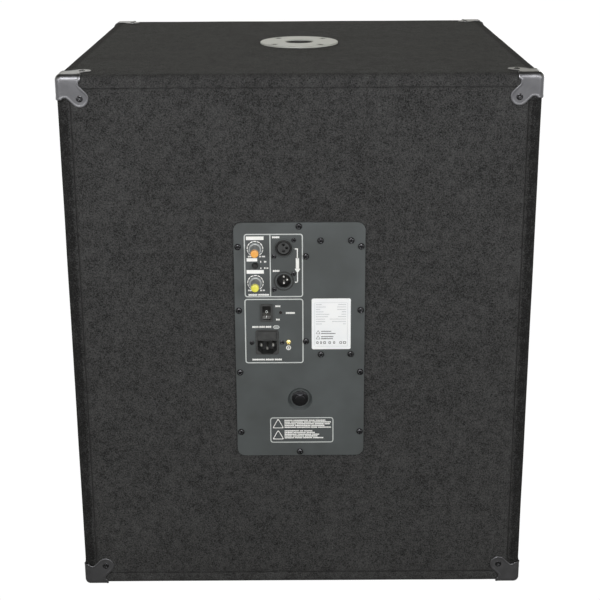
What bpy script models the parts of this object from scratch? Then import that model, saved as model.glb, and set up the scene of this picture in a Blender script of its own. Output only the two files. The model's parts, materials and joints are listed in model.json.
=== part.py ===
# Active PA subwoofer: a carpeted cabinet with corner protectors, a pole socket, a plate amplifier with its controls
# on the rear, and an 18 inch woofer with two ports behind a grille at the front.
# Metres, +Z up. The grille faces -Y, the amplifier plate faces +Y, and the feet stand on z = 0.

import math

import bmesh
import bpy
from mathutils import Matrix, Vector

MM = 0.001

# Cabinet: outer size over the carpet. The knobs reach out at the rear and the corner protectors at the front, and the
# origin is midway between the two.
WIDTH = 550 * MM
DEPTH = 510 * MM
HEIGHT = 650 * MM
FOOT_HEIGHT = 18 * MM
KNOB_REACH = 24 * MM
GAP = 0.3 * MM
SHEET = 1.2 * MM

CARPET = 3 * MM
BOARD = 12 * MM
BAFFLE_BOARD = 18 * MM
EDGE_RADIUS = 6 * MM

HALF_WIDTH = WIDTH / 2
REAR = (DEPTH + SHEET - KNOB_REACH) / 2
FRONT = REAR - DEPTH
BASE = FOOT_HEIGHT
TOP = BASE + HEIGHT
SHELL = CARPET + BOARD

# Corner protectors
PROTECTOR_ARM = 28.6 * MM
PROTECTOR_NOTCH = 11.2 * MM
LOBE_CENTRE = 26.7 * MM
LOBE_RADIUS = 10.2 * MM
PROTECTOR_SCREW_RADIUS = 2.2 * MM

# Pole socket
POLE_BORE_RADIUS = 18.2 * MM
POLE_TUBE_RADIUS = 20.7 * MM
POLE_FLANGE_RADIUS = 51 * MM
POLE_FLANGE_THICKNESS = 2.4 * MM
POLE_DEPTH = 95 * MM

# Side handles
HANDLE_Y = -8 * MM
HANDLE_Z = 430 * MM
HANDLE_LENGTH = 160 * MM
HANDLE_HEIGHT = 96 * MM
HANDLE_DEPTH = 52 * MM
HANDLE_WALL = 3 * MM
HANDLE_CORNER = 13 * MM
HANDLE_RIM = 14 * MM
GRIP_RADIUS = 11 * MM

# Feet
FOOT_RADIUS = 21 * MM
FOOT_INSET = 62 * MM

# Woofer and ports
BAFFLE_FRONT = -222 * MM
WOOFER_Z = 410 * MM
WOOFER_RADIUS = 229 * MM
WOOFER_CUTOUT = 213 * MM
CONE_FRONT_RADIUS = 194 * MM
CONE_FRONT_Y = -228 * MM
CONE_NECK_RADIUS = 51.8 * MM
CONE_NECK_Y = -128 * MM
COIL_RADIUS = 50 * MM
PORT_X = 165 * MM
PORT_Z = 106 * MM
PORT_RADIUS = 50 * MM

# Amplifier plate on the rear, and what it carries
PLATE_X = 1 * MM
PLATE_Z = 347 * MM
PLATE_WIDTH = 154 * MM
PLATE_HEIGHT = 297 * MM
PLATE_THICKNESS = 2 * MM
PLATE_CORNER = 9 * MM
PLATE_BACK = REAR + 0.2 * MM
PLATE_FRONT = PLATE_BACK + PLATE_THICKNESS
CUTOUT_MARGIN = 9 * MM

KNOB_X = 53 * MM
LEVEL_Z = 463.8 * MM
CROSSOVER_Z = 422 * MM
PHASE_Z = 443.3 * MM
XLR_X = 19.6 * MM
INPUT_Z = 464.2 * MM
THRU_Z = 423.9 * MM
ROCKER_X = 40.4 * MM
ROCKER_Z = 384.6 * MM
LAMP_X = 23.9 * MM
LAMP_Z = 384.4 * MM
INLET_X = 40.1 * MM
INLET_Z = 346.9 * MM
INLET_WIDTH = 27.2 * MM
INLET_HEIGHT = 31.2 * MM
CAVITY_WIDTH = 23.2 * MM
CAVITY_HEIGHT = 17 * MM
CAVITY_Z = 340.7 * MM
DRAWER_WIDTH = 22 * MM
DRAWER_HEIGHT = 9.6 * MM
DRAWER_Z = 355.9 * MM
EARTH_X = 14.6 * MM
EARTH_Z = 347.1 * MM
BOLT_X = 1.3 * MM
BOLT_Z = 272.6 * MM
DIMPLE_RADIUS = 15 * MM
DIMPLE_DEPTH = 4 * MM
LABEL_X = -36.2 * MM
LABEL_Z = 369.9 * MM
LABEL_WIDTH = 46.4 * MM
LABEL_HEIGHT = 64.2 * MM


# ---- helpers -------------------------------------------------------------------------------------------------------

def clear_scene():
    for obj in list(bpy.data.objects):
        bpy.data.objects.remove(obj, do_unlink=True)


def material(name, colour, roughness, metallic=0.0):
    mat = bpy.data.materials.new(name)
    mat.use_nodes = True
    shader = mat.node_tree.nodes["Principled BSDF"]
    shader.inputs["Base Color"].default_value = (*colour, 1.0)
    shader.inputs["Roughness"].default_value = roughness
    shader.inputs["Metallic"].default_value = metallic
    mat.diffuse_color = (*colour, 1.0)
    return mat


# Maps plane coordinates (a, b) and a depth to the frame, for a shape built along the named axis.
def on_axis(axis, a, b, depth):
    if axis == "X":
        return Vector((depth, a, b))
    if axis == "Y":
        return Vector((a, depth, b))
    return Vector((a, b, depth))


# A box between two opposite corners.
def block(low, high):
    shape = bmesh.new()
    size = [h - l for l, h in zip(low, high)]
    centre = [(h + l) / 2 for l, h in zip(low, high)]
    place = Matrix.Translation(centre) @ Matrix.Diagonal((*size, 1.0))
    bmesh.ops.create_cube(shape, size=1.0, matrix=place)
    return shape


# An outline in the plane across the axis, pushed along it from low to high.
def prism(outline, low, high, axis):
    shape = bmesh.new()
    near = [shape.verts.new(on_axis(axis, a, b, low)) for a, b in outline]
    far = [shape.verts.new(on_axis(axis, a, b, high)) for a, b in outline]
    shape.faces.new(near)
    shape.faces.new(reversed(far))
    count = len(outline)
    for i in range(count):
        j = (i + 1) % count
        shape.faces.new((near[i], far[i], far[j], near[j]))
    return shape


# A profile of (radius, height) points turned about an axis through the centre. A profile that starts and ends on the
# axis gives a solid; any other is closed on itself and gives a ring.
def turned(profile, centre, axis, segments=24):
    shape = bmesh.new()
    a0, b0 = centre
    rings = []
    for radius, height in profile:
        if radius < 1e-9:
            rings.append([shape.verts.new(on_axis(axis, a0, b0, height))])
            continue
        angles = [2 * math.pi * i / segments for i in range(segments)]
        rings.append([
            shape.verts.new(on_axis(axis, a0 + radius * math.cos(t), b0 + radius * math.sin(t), height))
            for t in angles
        ])
    solid = len(rings[0]) == 1 and len(rings[-1]) == 1
    pairs = list(zip(rings, rings[1:]))
    if not solid:
        pairs.append((rings[-1], rings[0]))
    for one, two in pairs:
        for i in range(segments):
            j = (i + 1) % segments
            corners = [one[i % len(one)], one[j % len(one)], two[j % len(two)], two[i % len(two)]]
            unique = list(dict.fromkeys(corners))
            if len(unique) > 2:
                shape.faces.new(unique)
    return shape


def disc(radius, low, high, centre, axis, segments=24):
    return turned([(0, low), (radius, low), (radius, high), (0, high)], centre, axis, segments)


def ring(inner, outer, low, high, centre, axis, segments=24):
    return turned([(inner, low), (outer, low), (outer, high), (inner, high)], centre, axis, segments)


def rounded_rectangle(centre, width, height, radius, steps=3):
    points = []
    corners = [(1, 1, 0), (-1, 1, 90), (-1, -1, 180), (1, -1, 270)]
    for side_a, side_b, start in corners:
        a = centre[0] + side_a * (width / 2 - radius)
        b = centre[1] + side_b * (height / 2 - radius)
        for i in range(steps + 1):
            t = math.radians(start + 90 * i / steps)
            points.append((a + radius * math.cos(t), b + radius * math.sin(t)))
    return points


# Puts several closed shapes into one mesh as separate bodies.
def together(*shapes):
    joined = bmesh.new()
    for shape in shapes:
        bmesh.ops.recalc_face_normals(shape, faces=shape.faces)
        mesh = bpy.data.meshes.new("shape")
        shape.to_mesh(mesh)
        shape.free()
        joined.from_mesh(mesh)
        bpy.data.meshes.remove(mesh)
    return joined


# Makes an object from a shape that is drawn in the frame, with its origin where asked.
def piece(name, shape, mat, origin=(0, 0, 0), smooth=True):
    bmesh.ops.translate(shape, verts=shape.verts, vec=-Vector(origin))
    bmesh.ops.recalc_face_normals(shape, faces=shape.faces)
    mesh = bpy.data.meshes.new(name)
    shape.to_mesh(mesh)
    shape.free()
    mesh.materials.append(mat)
    if smooth:
        mesh.shade_smooth()
        mesh.set_sharp_from_angle(angle=math.radians(32))
    obj = bpy.data.objects.new(name, mesh)
    obj.location = origin
    bpy.context.scene.collection.objects.link(obj)
    return obj


def boolean(obj, operation, *shapes):
    mesh = bpy.data.meshes.new(obj.name + "_tool")
    shape = together(*shapes)
    shape.to_mesh(mesh)
    shape.free()
    tool = bpy.data.objects.new(obj.name + "_tool", mesh)
    tool.hide_render = True
    tool.display_type = "WIRE"
    bpy.context.scene.collection.objects.link(tool)
    step = obj.modifiers.new("tool", "BOOLEAN")
    step.operation = operation
    step.solver = "EXACT"
    step.object = tool
    return tool


def cut(obj, *shapes):
    return boolean(obj, "DIFFERENCE", *shapes)


def fuse(obj, *shapes):
    return boolean(obj, "UNION", *shapes)


# ---- cabinet -------------------------------------------------------------------------------------------------------

def handle_opening(side, margin):
    length = HANDLE_LENGTH + 2 * margin
    height = HANDLE_HEIGHT + 2 * margin
    outline = rounded_rectangle((HANDLE_Y, HANDLE_Z), length, height, HANDLE_CORNER + margin)
    inner = side * (HALF_WIDTH - 40 * MM)
    outer = side * (HALF_WIDTH + 10 * MM)
    return prism(outline, min(inner, outer), max(inner, outer), "X")


def pole_centre():
    return (0.0, FRONT + DEPTH / 2)


def pole_opening():
    return disc(POLE_TUBE_RADIUS + GAP, TOP - 30 * MM, TOP + 10 * MM, pole_centre(), "Z")


def amp_opening(margin):
    width = PLATE_WIDTH - 2 * margin
    height = PLATE_HEIGHT - 2 * margin
    outline = rounded_rectangle((PLATE_X, PLATE_Z), width, height, 6 * MM)
    return prism(outline, REAR - 40 * MM, REAR + 10 * MM, "Y")


def build_boards(wood):
    outer = HALF_WIDTH - CARPET - GAP
    inner = HALF_WIDTH - SHELL
    front = FRONT + CARPET + GAP
    rear = REAR - CARPET - GAP
    low = BASE + CARPET + GAP
    high = TOP - CARPET - GAP
    bottom = block((-outer, front, low), (outer, rear, BASE + SHELL))
    piece("bottom_panel", bottom, wood, smooth=False)
    top = piece("top_panel", block((-outer, front, TOP - SHELL), (outer, rear, high)), wood, smooth=False)
    cut(top, pole_opening())
    for name, side in (("left_panel", -1), ("right_panel", 1)):
        xs = sorted((side * inner, side * outer))
        shape = block((xs[0], front, BASE + SHELL + GAP), (xs[1], rear, TOP - SHELL - GAP))
        cut(piece(name, shape, wood, smooth=False), handle_opening(side, GAP))


def build_inset_boards(wood, carpet, baffle_paint):
    half = HALF_WIDTH - SHELL - 0.6 * MM
    low = BASE + SHELL + 0.6 * MM
    high = TOP - SHELL - 0.6 * MM
    board_rear = REAR - CARPET - GAP
    rear = piece("rear_panel", block((-half, board_rear - BOARD, low), (half, board_rear, high)), wood, smooth=False)
    cut(rear, amp_opening(CUTOUT_MARGIN))
    skin = piece("carpet_rear", block((-half, REAR - CARPET, low), (half, REAR, high)), carpet, smooth=False)
    cut(skin, amp_opening(CUTOUT_MARGIN))
    baffle_low = (-half, BAFFLE_FRONT, low)
    baffle_high = (half, BAFFLE_FRONT + BAFFLE_BOARD, high)
    baffle = piece("front_baffle", block(baffle_low, baffle_high), baffle_paint, smooth=False)
    near = BAFFLE_FRONT - 10 * MM
    far = BAFFLE_FRONT + BAFFLE_BOARD + 10 * MM
    holes = [disc(WOOFER_CUTOUT, near, far, (0, WOOFER_Z), "Y", 36)]
    for side in (-1, 1):
        holes.append(disc(PORT_RADIUS + 3.5 * MM, near, far, (side * PORT_X, PORT_Z), "Y"))
    cut(baffle, *holes)


# One piece of felt over the four walls, with its edges rounded and its ends turned over the boards.
def build_carpet_wrap(carpet):
    shape = block((-HALF_WIDTH, FRONT, BASE), (HALF_WIDTH, REAR, TOP))
    edges = list(shape.edges)
    bmesh.ops.bevel(shape, geom=edges, offset=EDGE_RADIUS, segments=3, profile=0.5, affect="EDGES")
    wrap = piece("carpet_wrap", shape, carpet)
    inner = HALF_WIDTH - CARPET
    boards = block((-inner, FRONT + CARPET, BASE + CARPET), (inner, REAR - CARPET, TOP - CARPET))
    cut(wrap, boards)
    inside = HALF_WIDTH - SHELL
    ends = block((-inside, FRONT - 20 * MM, BASE + SHELL), (inside, REAR + 20 * MM, TOP - SHELL))
    cut(wrap, ends)
    cut(wrap, handle_opening(-1, GAP), handle_opening(1, GAP), pole_opening())


# ---- corner protectors ---------------------------------------------------------------------------------------------

# Outline of one face of a protector. The box corner is at (0, 0) and both arms run towards positive values, which is
# into the face. A lobe for the screw points to the face's middle, with a notch on each side of it.
def protector_outline():
    past = -8 * MM
    tab = 2.5 * MM
    side = []
    for i in range(3):
        t = math.radians(90 * i / 2)
        side.append((PROTECTOR_ARM - tab + tab * math.cos(t), PROTECTOR_NOTCH - 2 * tab + tab * math.sin(t)))
    side.append((PROTECTOR_ARM - 2 * tab, PROTECTOR_NOTCH))
    outline = [(past, past), (PROTECTOR_ARM, past)] + side
    for i in range(7):
        t = math.radians(-38 + 166 * i / 6)
        outline.append((LOBE_CENTRE + LOBE_RADIUS * math.cos(t), LOBE_CENTRE + LOBE_RADIUS * math.sin(t)))
    outline += [(b, a) for a, b in reversed(side)] + [(past, PROTECTOR_ARM)]
    return outline


# A rounded corner of a box whose three faces lie at the given height over the carpet.
def rounded_corner(height, reach, radius):
    shape = block((-height,) * 3, (reach,) * 3)
    near = [e for e in shape.edges if sum(abs(v.co[k] + height) < 1e-6 for v in e.verts for k in range(3)) >= 4]
    bmesh.ops.bevel(shape, geom=near, offset=radius, segments=4, profile=0.5, affect="EDGES")
    return shape


def protector_mesh(steel):
    shell = piece("protector_blank", rounded_corner(SHEET, 60 * MM, EDGE_RADIUS + SHEET), steel)
    cut(shell, rounded_corner(0.1 * MM, 80 * MM, EDGE_RADIUS))
    outline = protector_outline()
    across = piece("protector_faces", prism(outline, -5 * MM, 9.2 * MM, "Z"), steel)
    fuse(across, prism(outline, -5 * MM, 9.2 * MM, "X"))
    fuse(across, prism(outline, -5 * MM, 9.2 * MM, "Y"))
    keep = shell.modifiers.new("keep", "BOOLEAN")
    keep.operation = "INTERSECT"
    keep.solver = "EXACT"
    keep.object = across
    for axis in "XYZ":
        centre = (LOBE_CENTRE, LOBE_CENTRE)
        cut(shell, disc(PROTECTOR_SCREW_RADIUS, -5 * MM, 8 * MM, centre, axis, 8))
    bpy.context.view_layer.update()
    mesh = bpy.data.meshes.new_from_object(shell.evaluated_get(bpy.context.evaluated_depsgraph_get()))
    for obj in list(bpy.data.objects):
        if obj.name.startswith("protector_"):
            bpy.data.objects.remove(obj, do_unlink=True)
    return mesh


# The blank's corner is at the origin with the cabinet towards +X, +Y and +Z; each copy is turned inside out to suit.
def build_protectors(steel):
    blank = protector_mesh(steel)
    for side_x, word_x in ((-1, "left"), (1, "right")):
        for side_y, word_y in ((-1, "front"), (1, "rear")):
            for side_z, word_z in ((-1, "bottom"), (1, "top")):
                shape = bmesh.new()
                shape.from_mesh(blank)
                bmesh.ops.scale(shape, verts=shape.verts, vec=(-side_x, -side_y, -side_z))
                corner = Vector((
                    side_x * HALF_WIDTH,
                    FRONT if side_y < 0 else REAR,
                    BASE if side_z < 0 else TOP,
                ))
                bmesh.ops.translate(shape, verts=shape.verts, vec=corner)
                piece(f"corner_{word_z}_{word_y}_{word_x}", shape, steel)


# ---- top and bottom fittings, handles ------------------------------------------------------------------------------

def build_pole_socket(enamel):
    top = TOP + GAP + POLE_FLANGE_THICKNESS
    profile = [
        (POLE_BORE_RADIUS, top - 2 * MM),
        (POLE_BORE_RADIUS + 1.4 * MM, top),
        (POLE_FLANGE_RADIUS - 1.2 * MM, top),
        (POLE_FLANGE_RADIUS, top - 1.1 * MM),
        (POLE_FLANGE_RADIUS, TOP + GAP),
        (POLE_TUBE_RADIUS, TOP + GAP),
        (POLE_TUBE_RADIUS, top - POLE_DEPTH),
        (0, top - POLE_DEPTH),
    ]
    inside = [(0, top - POLE_DEPTH + 3 * MM), (POLE_BORE_RADIUS, top - POLE_DEPTH + 3 * MM)]
    piece("pole_socket", turned(inside + profile, pole_centre(), "Z", 32), enamel)


def build_feet(rubber):
    hole_radius = 6 * MM
    hole_depth = 8 * MM
    top = FOOT_HEIGHT - GAP
    for name, x, y in (
        ("foot_front_left", -1, FRONT + FOOT_INSET),
        ("foot_front_right", 1, FRONT + FOOT_INSET),
        ("foot_rear_left", -1, REAR - FOOT_INSET),
        ("foot_rear_right", 1, REAR - FOOT_INSET),
    ):
        profile = [
            (0, hole_depth),
            (hole_radius, hole_depth),
            (hole_radius, 0),
            (FOOT_RADIUS - 3 * MM, 0),
            (FOOT_RADIUS - 1.5 * MM, 1.5 * MM),
            (FOOT_RADIUS, top),
            (0, top),
        ]
        piece(name, turned(profile, (x * (HALF_WIDTH - FOOT_INSET), y), "Z", 20), rubber)


# Moulded cup through the side wall with a flat rim over the carpet, and a grip bar across it.
def build_handles(plastic, rubber):
    for side, word in ((-1, "left"), (1, "right")):
        face = side * HALF_WIDTH

        def depth_range(inner, outer):
            return sorted((face - side * inner, face + side * outer))

        rim = rounded_rectangle((HANDLE_Y, HANDLE_Z), HANDLE_LENGTH + 2 * HANDLE_RIM,
                                HANDLE_HEIGHT + 2 * HANDLE_RIM, 20 * MM)
        low, high = depth_range(-GAP, 2 * MM)
        cup = piece(f"handle_cup_{word}", prism(rim, low, high, "X"), plastic)
        body = rounded_rectangle((HANDLE_Y, HANDLE_Z), HANDLE_LENGTH, HANDLE_HEIGHT, HANDLE_CORNER)
        low, high = depth_range(HANDLE_DEPTH, 1 * MM)
        fuse(cup, prism(body, low, high, "X"))
        hollow_length = HANDLE_LENGTH - 2 * HANDLE_WALL
        hollow_height = HANDLE_HEIGHT - 2 * HANDLE_WALL
        hollow = rounded_rectangle((HANDLE_Y, HANDLE_Z), hollow_length, hollow_height, HANDLE_CORNER - HANDLE_WALL)
        low, high = depth_range(HANDLE_DEPTH - HANDLE_WALL, 10 * MM)
        cut(cup, prism(hollow, low, high, "X"))
        end = hollow_length / 2 - GAP
        profile = [
            (0, HANDLE_Y - end),
            (GRIP_RADIUS + 2 * MM, HANDLE_Y - end),
            (GRIP_RADIUS + 2 * MM, HANDLE_Y - end + 5 * MM),
            (GRIP_RADIUS, HANDLE_Y - end + 8 * MM),
            (GRIP_RADIUS, HANDLE_Y + end - 8 * MM),
            (GRIP_RADIUS + 2 * MM, HANDLE_Y + end - 5 * MM),
            (GRIP_RADIUS + 2 * MM, HANDLE_Y + end),
            (0, HANDLE_Y + end),
        ]
        centre = (face - side * 15 * MM, HANDLE_Z + 18 * MM)
        piece(f"handle_grip_{word}", turned(profile, centre, "Y", 16), rubber)


# ---- front: grille, woofer and ports -------------------------------------------------------------------------------

def build_grille(black_steel, foam):
    sheet = 1.5 * MM
    half = HALF_WIDTH - SHELL - 0.8 * MM
    low = BASE + SHELL + 0.8 * MM
    high = TOP - SHELL - 0.8 * MM
    front = FRONT + 3 * MM
    tray = piece("grille", block((-half, front, low), (half, BAFFLE_FRONT - GAP, high)), black_steel, smooth=False)
    inner = half - sheet
    cut(tray, block((-inner, front + sheet, low + sheet), (inner, BAFFLE_FRONT + 20 * MM, high - sheet)))
    inner -= GAP
    foam_front = front + sheet + GAP
    sheet += GAP
    slab = block((-inner, foam_front, low + sheet), (inner, foam_front + 5 * MM, high - sheet))
    piece("grille_foam", slab, foam, smooth=False)


def cone_radius(y):
    share = (y - CONE_FRONT_Y) / (CONE_NECK_Y - CONE_FRONT_Y)
    return CONE_FRONT_RADIUS + share * (CONE_NECK_RADIUS - CONE_FRONT_RADIUS)


def woofer_ring(name, profile, mat, segments=36):
    return piece(name, turned(profile, (0, WOOFER_Z), "Y", segments), mat, origin=(0, CONE_NECK_Y, WOOFER_Z))


# Cast basket: a front flange, a tapering wall with eight windows and a back seat for the magnet.
def build_basket(cast):
    flange = BAFFLE_FRONT - 8.3 * MM
    profile = [
        (WOOFER_RADIUS - 1.5 * MM, flange),
        (WOOFER_RADIUS, flange + 1.5 * MM),
        (WOOFER_RADIUS, BAFFLE_FRONT - GAP),
        (WOOFER_CUTOUT - 1.5 * MM, BAFFLE_FRONT - GAP),
        (WOOFER_CUTOUT - 5 * MM, BAFFLE_FRONT + 25 * MM),
        (105 * MM, -98 * MM),
        (105 * MM, -63.5 * MM),
        (56 * MM, -63.5 * MM),
        (56 * MM, -68 * MM),
        (98 * MM, -68 * MM),
        (98 * MM, -90 * MM),
        (90 * MM, -90 * MM),
        (90 * MM, -94 * MM),
        (100.5 * MM, -94 * MM),
        (101 * MM, -102 * MM),
        (WOOFER_CUTOUT - 9 * MM, BAFFLE_FRONT + 23 * MM),
        (WOOFER_CUTOUT - 6 * MM, flange),
    ]
    basket = woofer_ring("woofer_basket", profile, cast)
    windows = []
    for i in range(8):
        middle = math.radians(45 * i + 22.5)
        outline = []
        for radius, share in ((116, -1), (192, -1), (192, 1), (116, 1)):
            turn = middle + share * math.radians(15)
            outline.append((radius * MM * math.cos(turn), WOOFER_Z + radius * MM * math.sin(turn)))
        windows.append(prism(outline, -205 * MM, -40 * MM, "Y"))
    cut(basket, *windows)


def build_motor(plated, ferrite):
    woofer_ring("magnet_top_plate", [(52.8 * MM, -63.2 * MM), (100 * MM, -63.2 * MM), (100 * MM, -51 * MM),
                                     (52.8 * MM, -51 * MM)], plated)
    woofer_ring("magnet_ring", [(60 * MM, -50.7 * MM), (110 * MM, -50.7 * MM), (110 * MM, -29 * MM),
                                (60 * MM, -29 * MM)], ferrite)
    woofer_ring("magnet_back_plate", [
        (12 * MM, -64 * MM),
        (47.2 * MM, -64 * MM),
        (48.6 * MM, -62.6 * MM),
        (48.6 * MM, -28.7 * MM),
        (98 * MM, -28.7 * MM),
        (100 * MM, -26.7 * MM),
        (98 * MM, -16 * MM),
        (12 * MM, -16 * MM),
    ], plated)


# Cone, dust cap and voice coil move as one along Y; the surround and the spider carry them.
def build_moving_parts(paper, cap_paper, coil_wire, rubber, cloth):
    wall = 1.6 * MM
    woofer_ring("woofer_cone", [
        (CONE_NECK_RADIUS, CONE_NECK_Y),
        (CONE_FRONT_RADIUS, CONE_FRONT_Y),
        (CONE_FRONT_RADIUS, CONE_FRONT_Y + wall),
        (cone_radius(-180 * MM) + 0.6 * MM, -180 * MM + wall),
        (CONE_NECK_RADIUS + 1.2 * MM, CONE_NECK_Y + wall),
        (CONE_NECK_RADIUS, CONE_NECK_Y + wall),
    ], paper)
    cap_radius = 72 * MM
    cap_y = CONE_NECK_Y - (cap_radius - CONE_NECK_RADIUS) * 0.7
    rise = 26 * MM
    outer = []
    inner = []
    for i in range(5):
        t = math.radians(90 * i / 4)
        outer.append((cap_radius * math.cos(t), cap_y - rise * math.sin(t)))
        inner.append(((cap_radius - 1.5 * MM) * math.cos(t), cap_y + 0.2 * MM - (rise - 1.5 * MM) * math.sin(t)))
    outer[0] = (cap_radius, cap_y - 1.2 * MM)
    inner[0] = (cap_radius - 1.5 * MM, cap_y - 0.9 * MM)
    outer[-1] = (0, outer[-1][1])
    inner[-1] = (0, inner[-1][1])
    woofer_ring("dust_cap", list(reversed(outer)) + inner, cap_paper)
    woofer_ring("voice_coil", [
        (COIL_RADIUS, CONE_NECK_Y + GAP),
        (COIL_RADIUS + 1.4 * MM, CONE_NECK_Y + GAP),
        (COIL_RADIUS + 1.4 * MM, -46 * MM),
        (COIL_RADIUS, -46 * MM),
    ], coil_wire)
    front = BAFFLE_FRONT - 8.6 * MM
    back = 1.2 * MM
    roll_inner = CONE_FRONT_RADIUS + 2 * MM
    roll_outer = WOOFER_CUTOUT - 2 * MM
    middle = (roll_inner + roll_outer) / 2
    half = (roll_outer - roll_inner) / 2
    over = []
    under = []
    for i in range(6):
        t = math.radians(180 * i / 5)
        over.append((middle - half * math.cos(t), front - back - 7 * MM * math.sin(t)))
        under.append((middle - (half - back) * math.cos(t), front - 6.8 * MM * math.sin(t)))
    outline = [(CONE_FRONT_RADIUS - 7 * MM, front - back)] + over + [(WOOFER_RADIUS - 3 * MM, front - back)]
    outline += [(WOOFER_RADIUS - 3 * MM, front)] + list(reversed(under))
    outline += [(CONE_FRONT_RADIUS - 7 * MM, front)]
    woofer_ring("surround", outline, rubber)
    waves = 5
    spider_y = -97 * MM
    inner_radius = 52 * MM
    outer_radius = 96.5 * MM
    one = []
    two = []
    for i in range(2 * waves + 1):
        share = i / (2 * waves)
        radius = inner_radius + share * (outer_radius - inner_radius)
        height = spider_y + (1.6 * MM if i % 2 else -1.6 * MM)
        one.append((radius, height))
        two.append((radius, height + 0.8 * MM))
    woofer_ring("spider", one + list(reversed(two)), cloth, 24)


def build_ports(plastic):
    front = BAFFLE_FRONT - GAP
    for word, side in (("left", -1), ("right", 1)):
        profile = [
            (PORT_RADIUS, BAFFLE_FRONT + 14 * MM),
            (PORT_RADIUS + 2 * MM, BAFFLE_FRONT + 4 * MM),
            (PORT_RADIUS + 6 * MM, front - 3.5 * MM),
            (PORT_RADIUS + 13 * MM, front - 3.5 * MM),
            (PORT_RADIUS + 13 * MM, front),
            (PORT_RADIUS + 3.2 * MM, front),
            (PORT_RADIUS + 3.2 * MM, -62 * MM),
            (PORT_RADIUS, -62 * MM),
        ]
        piece(f"port_tube_{word}", turned(profile, (side * PORT_X, PORT_Z), "Y"), plastic)


# ---- rear: amplifier plate and what stands on it -------------------------------------------------------------------

def build_amp_plate(painted):
    outline = rounded_rectangle((PLATE_X, PLATE_Z), PLATE_WIDTH, PLATE_HEIGHT, PLATE_CORNER)
    plate = piece("amp_plate", prism(outline, PLATE_BACK, PLATE_FRONT, "Y"), painted)
    dish_floor = PLATE_FRONT - DIMPLE_DEPTH
    bolt_centre = (BOLT_X, BOLT_Z)
    fuse(plate, disc(DIMPLE_RADIUS + 0.5 * MM, dish_floor - PLATE_THICKNESS, PLATE_BACK + 0.5 * MM, bolt_centre, "Y"))
    dish = [
        (0, dish_floor),
        (DIMPLE_RADIUS - 3 * MM, dish_floor),
        (DIMPLE_RADIUS, PLATE_FRONT),
        (DIMPLE_RADIUS, PLATE_FRONT + 5 * MM),
        (0, PLATE_FRONT + 5 * MM),
    ]
    cut(plate, turned(dish, bolt_centre, "Y"))
    near = PLATE_FRONT + 5 * MM
    far = PLATE_BACK - 10 * MM
    inlet = rounded_rectangle((INLET_X, INLET_Z), INLET_WIDTH + 2 * GAP, INLET_HEIGHT + 2 * GAP, 2.5 * MM, 2)
    rocker = rounded_rectangle((ROCKER_X, ROCKER_Z), 12.6 * MM, 19.6 * MM, 1 * MM, 2)
    cut(
        plate,
        disc(10.1 * MM, far, near, (XLR_X, INPUT_Z), "Y"),
        disc(8.7 * MM, far, near, (XLR_X, THRU_Z), "Y"),
        disc(4 * MM, far, near, (KNOB_X, LEVEL_Z), "Y", 20),
        disc(4 * MM, far, near, (KNOB_X, CROSSOVER_Z), "Y", 20),
        disc(3.7 * MM, far, near, (KNOB_X, PHASE_Z), "Y", 20),
        disc(1.9 * MM, far, near, (LAMP_X, LAMP_Z), "Y", 16),
        disc(2.4 * MM, far, near, (EARTH_X, EARTH_Z), "Y", 16),
        disc(4.4 * MM, far, near, bolt_centre, "Y", 20),
        prism(inlet, far, near, "Y"),
        prism(rocker, far, near, "Y"),
    )


def build_transformer(plated, tape, zinc):
    back = PLATE_FRONT - DIMPLE_DEPTH - PLATE_THICKNESS - GAP
    floor = PLATE_FRONT - DIMPLE_DEPTH + GAP
    centre = (BOLT_X, BOLT_Z)
    thickness = 52 * MM
    profile = []
    inner_radius = 10 * MM
    outer_radius = 54 * MM
    corner = 12 * MM
    for a, b, start in ((outer_radius, 0, -90), (outer_radius, thickness, 0)):
        sign = 1 if b == 0 else -1
        for i in range(4):
            t = math.radians(start + 30 * i)
            profile.append((a - corner + corner * math.cos(t), b + sign * corner + corner * math.sin(t)))
    profile += [(inner_radius, thickness), (inner_radius, 0)]
    shape = turned([(r, back - thickness + h) for r, h in profile], centre, "Y", 28)
    piece("toroid_transformer", shape, tape)
    washer = ring(4.4 * MM, 10 * MM, floor, floor + 1.6 * MM, centre, "Y")
    piece("transformer_washer", washer, zinc)
    head_low = floor + 1.6 * MM + GAP
    hexagon = []
    for i in range(6):
        t = math.radians(60 * i + 30)
        hexagon.append((BOLT_X + 7.5 * MM * math.cos(t), BOLT_Z + 7.5 * MM * math.sin(t)))
    bolt = piece("transformer_bolt", prism(hexagon, head_low, head_low + 5.3 * MM, "Y"), plated)
    fuse(bolt, disc(4 * MM, back - thickness - 6 * MM, head_low + 1 * MM, centre, "Y", 20))


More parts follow.
